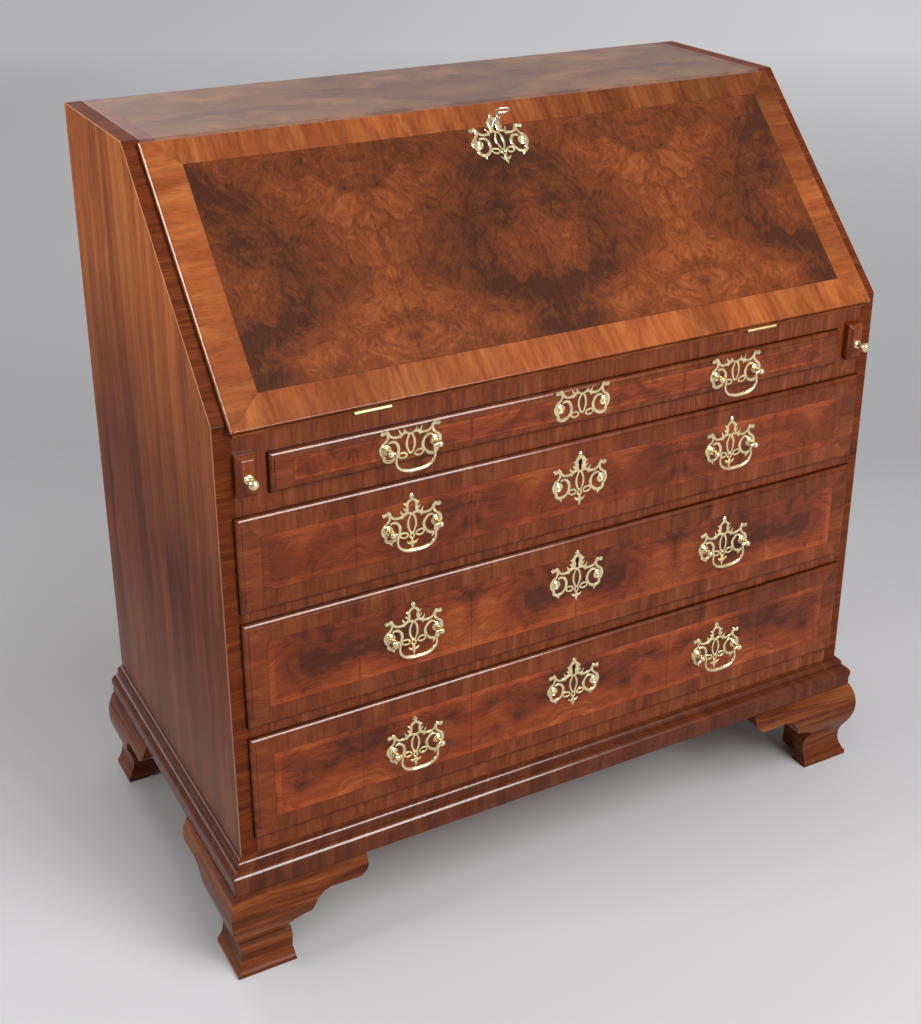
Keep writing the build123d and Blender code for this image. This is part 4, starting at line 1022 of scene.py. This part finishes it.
def whole_key(name):
    """The key: its own bit and lower shank, under a turned collar and a ring drawn from wire."""
    blank = merged_copy(("fall_key",), "key_bit")
    place = on_fall(KEY_S, 0)
    bpy.ops.object.mode_set(mode="EDIT")
    bpy.ops.mesh.select_all(action="SELECT")
    bpy.ops.mesh.bisect(
        plane_co=place @ Vector((0, 0, KEY_CUT * MM)), plane_no=place.to_3x3() @ Vector((0, 0, 1)),
        clear_outer=True, use_fill=True,
    )
    bpy.ops.object.mode_set(mode="OBJECT")
    shank = turning("key_shank", KEY_SHANK_PROFILE, sides=20)
    shank.data.transform(place)
    curve = wire("key_bow", roundness=3, smoothness=8, capped=False)
    draw_scroll(curve, KEY_BOW, closed=True)
    bow = drawn(curve)
    upright = Matrix.Translation((0, 0, BOW_LEVEL * MM)) @ Matrix.Rotation(math.pi / 2, 4, "X")
    bow.data.transform(place @ upright)
    return joined([blank, shank, bow], name)


# The studio


def lay_paper():
    """The floor: a flat sheet of pale paper."""
    deselect_all()
    bpy.ops.mesh.primitive_plane_add(size=2 * sizes().floor_reach, location=(0, 0, 0))
    floor = bpy.context.object
    floor.name = "studio_floor"

    # Matt paper, which gives no glare and shows only soft shade
    material, tree, shader = new_material("studio_paper_matt")
    coords = add_node(tree, "TexCoord")
    away = add_node(
        tree, "VectorMath", {0: coords.outputs["Object"], 1: (0.484, 0.875, 0)},
        operation="DOT_PRODUCT",
    )
    aside = add_node(
        tree, "VectorMath", {0: coords.outputs["Object"], 1: (0.875, -0.484, 0)},
        operation="DOT_PRODUCT",
    )
    depth = add_node(
        tree, "MapRange", {"Value": away.outputs["Value"], "From Min": -0.5, "From Max": 6.5}
    )
    # Painted shade: the paper is darker in a band behind the bureau, as if it bent up there
    painted_far_shade = add_node(
        tree, "ValToRGB", {"Fac": depth}, stops=[
            (0.02, level(0.86)), (0.92, level(0.98)), (0.23, level(0.48)), (0.5, level(0.6)),
        ],
    )
    # Painted shade across the floor: darker to the left, lighter to the right
    tilt = add_node(
        tree, "MapRange", {"Value": aside.outputs["Value"], "From Min": -2, "From Max": 2,
                           "To Min": 0.84, "To Max": 1.16},
    )
    shaded = add_node(
        tree, "VectorMath", {0: painted_far_shade, "Scale": tilt.outputs[0]}, operation="SCALE"
    )
    paper = add_node(
        tree, "MixRGB", {"Fac": 1, "Color1": shaded, "Color2": colours().floor},
        blend_type="MULTIPLY",
    )
    tree.links.new(paper.outputs[0], shader.inputs["Base Color"])
    shader.inputs["Roughness"].default_value = 0.9
    shader.inputs["Specular IOR Level"].default_value = 0.2
    set_finish(floor, material)


def fill_air():
    """The air: pale above and behind, and dim towards the room that the front looks into."""
    world = bpy.data.worlds.new("studio_air")
    bpy.context.scene.world = world
    world.use_nodes = True
    air = world.node_tree
    facing = add_node(air, "TexCoord")
    toward = add_node(
        air, "VectorMath", {0: facing.outputs["Generated"], 1: (0.25, 0.6, 0.75)},
        operation="DOT_PRODUCT",
    )
    glow = add_node(
        air, "MapRange", {"Value": toward.outputs["Value"], "From Min": -0.7, "From Max": 1.0,
                          "To Min": 0.05, "To Max": 0.6},
    )
    seen = add_node(air, "LightPath")
    strength = add_node(
        air, "Mix", {"Factor": seen.outputs["Is Camera Ray"], 2: glow.outputs[0], 3: 0.62}
    )
    background = air.nodes["Background"]
    background.inputs["Color"].default_value = linear("#F8F8FA")
    air.links.new(strength.outputs[0], background.inputs["Strength"])


def turned_to(aim):
    """The turn of a lamp or a camera that looks along aim."""
    return Vector(aim).to_track_quat("-Z", "Y")


def hang_lamps():
    """One wide lamp overhead that the polish doesn't show, and the lamps of the list."""
    sun = bpy.data.lights.new("lamp_overhead", "SUN")
    sun.energy = OVERHEAD_POWER
    sun.angle = OVERHEAD_SPREAD
    overhead = bpy.data.objects.new("lamp_overhead", sun)
    overhead.rotation_euler = turned_to(OVERHEAD_AIM).to_euler()
    overhead.visible_glossy = False
    bpy.context.collection.objects.link(overhead)
    for name, place, aim, width, length, power, lights, shows in LAMPS:
        light = bpy.data.lights.new(name, "AREA")
        light.shape = "RECTANGLE"
        light.size = width
        light.size_y = length
        light.energy = power
        lamp = bpy.data.objects.new(name, light)
        lamp.location = place
        lamp.rotation_euler = turned_to(Vector(aim) - Vector(place)).to_euler()
        lamp.visible_diffuse = lights
        lamp.visible_glossy = shows
        bpy.context.collection.objects.link(lamp)


def stand_camera():
    """The camera, where the photographer stood."""
    view = bpy.data.cameras.new("camera")
    view.sensor_width = CAMERA_SENSOR
    view.lens = CAMERA_LENS
    view.shift_x, view.shift_y = CAMERA_SHIFT
    view.clip_end = CAMERA_REACH
    camera = bpy.data.objects.new("camera", view)
    camera.location = CAMERA_PLACE
    turn = turned_to(CAMERA_AIM).to_matrix().to_4x4()
    camera.rotation_euler = (turn @ Matrix.Rotation(CAMERA_ROLL, 4, "Z")).to_euler()
    bpy.context.collection.objects.link(camera)
    bpy.context.scene.camera = camera


class BUREAU_OT_studio(bpy.types.Operator):
    """Lay the pale floor, hang the soft lamps and set up the camera"""

    bl_idname = "bureau.studio"
    bl_label = "Studio"

    def execute(self, context):
        lay_paper()
        fill_air()
        hang_lamps()
        stand_camera()
        context.scene.view_settings.view_transform = "Standard"
        return {"FINISHED"}


class BUREAU_OT_case(bpy.types.Operator):
    """Finish the carcase: solid sides, veneered top and rails, moulding, feet and oak inside"""

    bl_idname = "bureau.case"
    bl_label = "Case"

    def execute(self, context):
        shade = colours()
        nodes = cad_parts
        rail = (shade.rail_dark, shade.rail_mid, shade.rail_light)
        oaks = three_tones("#6E4828", shade.oak, "#C4986A")

        # Solid walnut, polished by hand and dulled by age: lighter towards the top, darker towards
        # the foot
        side = walnut_side(
            "walnut_solid_side",
            three_tones("#84421D", shade.side_top, "#D88A44"),
            three_tones("#49200F", shade.side_foot, "#8A4526"),
            three_tones("#552613", "#6A3016", "#82431F"),
        )
        for name in ("side_left", "side_right"):
            eased_piece(name, side, "case")

        # Veneer that has stood in the light: its polish is flat, so the room lies pale on it
        top_tones = three_tones("#5E3624", "#76492F", "#8C5D3C")
        top = banded_panel(
            "walnut_veneer_top",
            (0, TOP_MIDDLE_Y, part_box("top_board")[1].z), 0, TOP_FIELD, TOP_LEAF, seed=4.1,
            figure=lambda tree, place: curled_walnut(tree, place, top_tones), band_tones=rail,
            polish=TOP_POLISH,
        )
        eased_piece("top_board", top, "case")

        # Strips of veneer laid upright on the rails: short streaks that catch the light in turn
        rails = faced_timber(
            "walnut_banding_rails", RAIL_FACING_END, rail, "XZY", (10, 90), rail, "YXZ"
        )
        for name in ("bottom_rail", "divider_lower", "divider_middle", "divider_upper",
                     "top_rail", "desk_board", "loper_partitions"):
            set_finish(nodes[name], rails)

        # Oak behind a walnut head: closed it matches the rails, and drawn out it is pale
        loper = faced_timber(
            "oak_loper_walnut_head", LOPER_HEAD_END, rail, "XZY", (10, 90), oaks, "XYZ"
        )
        for hand in SIDES:
            eased_piece(f"loper_{hand}", loper, f"loper_{hand}")

        # Moulding run on walnut cut across its grain: dark, with a bright line along each arris
        dark = three_tones("#4C2211", "#5E2B15", "#70381A")
        moulding = walnut_wrapped(
            "walnut_moulding_crossgrain", True, dark, across_mm=20, along_mm=160, shine=0.1
        )
        for part in ("front", *SIDES):
            eased_piece(f"base_moulding_{part}", moulding, "case", MOULDING_WEAR)

        # Solid walnut sawn along its grain, rubbed dull by brooms: long level streaks
        feet = three_tones("#47200F", "#70371A", "#935427")
        foot = walnut_wrapped(
            "walnut_solid_feet", False, feet, across_mm=12, along_mm=190, shine=0.07
        )
        for end in ("front", "rear"):
            for hand in SIDES:
                # The tops and the inner corner of the brackets are out of reach, and stay sharp
                eased_piece(f"foot_{end}_{hand}", foot, "case", held=lambda corner: (
                    corner.z > FOOT_TOP_HELD
                    or (Vector((abs(corner.x), corner.y)) - FOOT_INNER_CORNER).length < 2 * MM
                ))

        # Planed oak, waxed and never polished: pale, with fine straight lines
        lining = plain_board(
            "oak_linings", "XYZ", oaks, across_mm=7, along_mm=300, shine=0.15
        )
        for name in DRAWERS:
            set_finish(nodes[f"drawer_box_{name}"], lining)
        bottom = plain_board("oak_bottom_board", "YXZ", oaks, across_mm=16, along_mm=400)
        set_finish(nodes["bottom_board"], bottom)

        # Dry sawn oak: planks of unlike tones with no shine
        low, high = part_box("back_boards")
        planks = oak_planks("oak_back_planks", oaks, low.x, (high.x - low.x) / BACK_PLANKS)
        set_finish(nodes["back_boards"], planks)

        # Thin walnut that little light has reached: even and warm, its grain along each board
        along = plain_board("walnut_desk_shelves", "ZXY", rail, across_mm=9, along_mm=160)
        for name in ("pigeonhole_shelves", "pigeonhole_arcades"):
            set_finish(nodes[name], along)
        upright = plain_board("walnut_desk_uprights", "XZY", rail, across_mm=9, along_mm=160)
        for name in ("pigeonhole_dividers", "cupboard_door"):
            set_finish(nodes[name], upright)

        # Oak boxes behind walnut fronts, whose level grain sets them off from the uprights
        letter = faced_timber(
            "oak_letter_drawers_walnut_fronts", (INTERIOR_FRONT + LETTER_FRONT) * MM,
            (shade.rail_mid, shade.band_dark, shade.band_mid), "ZXY", (9, 130), oaks, "XYZ",
        )
        for place in ("inner", "outer"):
            for hand in SIDES:
                set_finish(nodes[f"letter_drawer_{place}_{hand}"], letter)
        return {"FINISHED"}


class BUREAU_OT_veneered_fronts(bpy.types.Operator):
    """Veneer the fall and the drawer fronts with matched leaves inside crossbanded borders"""

    bl_idname = "bureau.veneered_fronts"
    bl_label = "Veneered fronts"

    def execute(self, context):
        shade = colours()
        burr = (shade.burr_dark, shade.burr_mid, shade.burr_light)
        figure = (shade.figure_dark, shade.figure_mid, shade.figure_light)
        band = (shade.band_dark, shade.band_mid, shade.band_light)
        rail = (shade.rail_dark, shade.rail_mid, shade.rail_light)

        # Burr veneer under French polish: smoky clouds, mirrored at each joint, in a paler border
        across, up = FALL_MIDDLE
        middle = on_fall(up, FALL_PROUD) @ Vector((across * MM, 0, 0))
        fall = banded_panel(
            "walnut_burr_fall", middle, SLOPE, FALL_FIELD, FALL_LEAF, seed=2.0,
            figure=lambda tree, place: burr_walnut(tree, place, burr), band_tones=band,
        )
        eased_piece("fall_front", fall, "fall")

        # Figured veneer under French polish: curls round dark knots, a pale feather band round
        # them, and borders laid crosswise
        for number, name in enumerate(DRAWERS):
            low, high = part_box(f"drawer_front_{name}")
            origin = ((low.x + high.x) / 2, low.y, (low.z + high.z) / 2)
            half = (
                (high.x - low.x) / 2 - DRAWER_END_BORDER,
                (high.z - low.z) / 2 - DRAWER_BORDER[name],
            )
            front = banded_panel(
                f"walnut_figured_{name}", origin, math.pi / 2, half, DRAWER_LEAF,
                seed=number * 0.9 + 0.4,
                figure=lambda tree, place: curled_walnut(tree, place, figure), band_tones=rail,
                feather=DRAWER_FEATHER[name],
            )
            eased_piece(f"drawer_front_{name}", front, f"drawer_{name}")
        return {"FINISHED"}


class BUREAU_OT_handles(bpy.types.Operator):
    """Cut the pierced plates, turn the posts and draw the swan-neck bails"""

    bl_idname = "bureau.handles"
    bl_label = "Handles"

    def execute(self, context):
        # Cast brass, filed and polished: pale gold, with small bright points on its crests
        brass = metal("brass_polished", colours().brass, roughness=0.19, mottle_mm=9)
        crested = scrolled_plate(
            "pattern_crested", [*RINGS, LOZENGE], [FINIAL, TAIL], [*WING, *CRESTED, ARCH]
        )
        keyed = scrolled_plate(
            "pattern_keyed", [*RINGS, LOZENGE], [FINIAL, TAIL], [*WING, *CRESTED, KEY_ARCH]
        )
        low = scrolled_plate("pattern_low", RINGS, [], [*WING, LOW_RISE])
        boss = turning("pattern_boss", BOSS_PROFILE, sides=24)
        post = turning("pattern_post", POST_PROFILE, sides=20)
        bail = swan_neck_bail("pattern_bail")
        for name in DRAWERS:
            handle_plate, middle_plate = (low, low) if name == "top" else (crested, keyed)
            middle_place = on_front(0, DRAWER_FACE, PLATE_LEVEL[name])
            pieces = [whole_plate(middle_plate, boss, f"middle_plate_{name}", middle_place)]
            for hand, x in zip(SIDES, (-HANDLE_X, HANDLE_X)):
                place = on_front(x, DRAWER_FACE, POST_LEVEL[name])
                pieces.append(
                    whole_plate(handle_plate, boss, f"handle_plate_{name}_{hand}", place)
                )
                posts = []
                for step in (-PLATE_UNIT, PLATE_UNIT):
                    spot = on_front(x + step, DRAWER_FACE, POST_LEVEL[name])
                    posts.append(placed_copy(post, "post", spot))
                pieces.append(joined(posts, f"handle_posts_{name}_{hand}"))
                spot = on_front(x, DRAWER_FACE - BAIL_REACH, POST_LEVEL[name])
                grip = placed_copy(bail, f"bail_swan_neck_{name}_{hand}", spot)
                set_finish(grip, brass)
                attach(grip, f"bail_{name}_{hand}")
                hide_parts(f"bail_{name}_{hand}")
            for piece in pieces:
                set_finish(piece, brass)
                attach(piece, f"drawer_{name}")
                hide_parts(f"drawer_brasses_{name}")
        place = on_fall(ESCUTCHEON_S, FALL_PROUD)
        escutcheon = whole_plate(keyed, boss, "escutcheon_pierced", place)
        drop(crested, keyed, low, boss, post, bail)
        set_finish(escutcheon, brass)
        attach(escutcheon, "fall")
        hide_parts("fall_escutcheon")
        return {"FINISHED"}


class BUREAU_OT_knobs_and_key(bpy.types.Operator):
    """Turn the brass knobs, finish the hinges and the lock, and forge the key"""

    bl_idname = "bureau.knobs_and_key"
    bl_label = "Knobs and key"

    def execute(self, context):
        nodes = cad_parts

        # Turned brass, bright from daily handling
        brass = metal("brass_turned", colours().brass, roughness=0.2, mottle_mm=7)
        knob = turning("pattern_knob", LOPER_KNOB_PROFILE, sides=28)
        for hand, x in zip(SIDES, (-LOPER_KNOB_X, LOPER_KNOB_X)):
            place = on_front(x, LOPER_KNOB_FACE, LOPER_KNOB_LEVEL)
            piece = placed_copy(knob, f"knob_turned_{hand}", place)
            set_finish(piece, brass)
            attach(piece, f"loper_{hand}")
            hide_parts(f"loper_knob_{hand}")
        small = turning("pattern_small_knob", SMALL_KNOB_PROFILE, sides=20)
        for body in (*(f"letter_drawer_{place}_{hand}" for place in ("inner", "outer")
                       for hand in SIDES), "cupboard_door"):
            low, high = (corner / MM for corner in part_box(body))
            x = CUPBOARD_KNOB_X if body == "cupboard_door" else (low.x + high.x) / 2
            place = on_front(x, INTERIOR_FRONT, (low.z + high.z) / 2)
            piece = placed_copy(small, f"knob_turned_{body}", place)
            set_finish(piece, brass)
            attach(piece, body)
        drop(knob, small)

        # Brass that no cloth has reached: brown and almost matt
        tarnished = metal(
            "brass_tarnished", linear("#A08A5C"), roughness=0.42, mottle_mm=11
        )
        for name in ("hinge_desk_leaves", "hinge_fall_leaves", "cupboard_hinge_frame",
                     "cupboard_hinge_door"):
            set_finish(nodes[name], tarnished)

        # Forged steel, rubbed grey by fingers: a soft gleam on the ring and the bolt
        steel = metal("steel_key", colours().steel, roughness=0.3, mottle_mm=5)
        for name in ("fall_lock_case", "fall_lock_bolt"):
            set_finish(nodes[name], steel)
        key = whole_key("key_with_ring_bow")
        set_finish(key, steel)
        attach(key, "fall_key")
        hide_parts("fall_key")
        return {"FINISHED"}


class BUREAU_PT_panel(bpy.types.Panel):
    """The bureau's pieces and settings in the 3D view's sidebar"""

    bl_idname = "BUREAU_PT_panel"
    bl_label = "Writing Bureau"
    bl_space_type = "VIEW_3D"
    bl_region_type = "UI"
    bl_category = "Bureau"

    def draw(self, context):
        for maker in MAKERS:
            self.layout.operator(maker.bl_idname)
        for group in (context.scene.bureau_colours, context.scene.bureau_sizes):
            for name in group.bl_rna.properties.keys():
                if name not in ("rna_type", "name"):
                    self.layout.prop(group, name)


MAKERS = (
    BUREAU_OT_studio,
    BUREAU_OT_case,
    BUREAU_OT_veneered_fronts,
    BUREAU_OT_handles,
    BUREAU_OT_knobs_and_key,
)
CLASSES = (BureauColours, BureauSizes, *MAKERS, BUREAU_PT_panel)


def register():
    """Add the settings, the operators and the panel."""
    for each in CLASSES:
        bpy.utils.register_class(each)
    bpy.types.Scene.bureau_colours = bpy.props.PointerProperty(type=BureauColours)
    bpy.types.Scene.bureau_sizes = bpy.props.PointerProperty(type=BureauSizes)


def unregister():
    """Take the settings, the operators and the panel away again."""
    del bpy.types.Scene.bureau_sizes
    del bpy.types.Scene.bureau_colours
    for each in reversed(CLASSES):
        bpy.utils.unregister_class(each)


def main():
    """Make every piece in order."""
    register()
    for maker in MAKERS:
        group, name = maker.bl_idname.split(".")
        getattr(getattr(bpy.ops, group), name)()


if __name__ == "__main__":
    main()
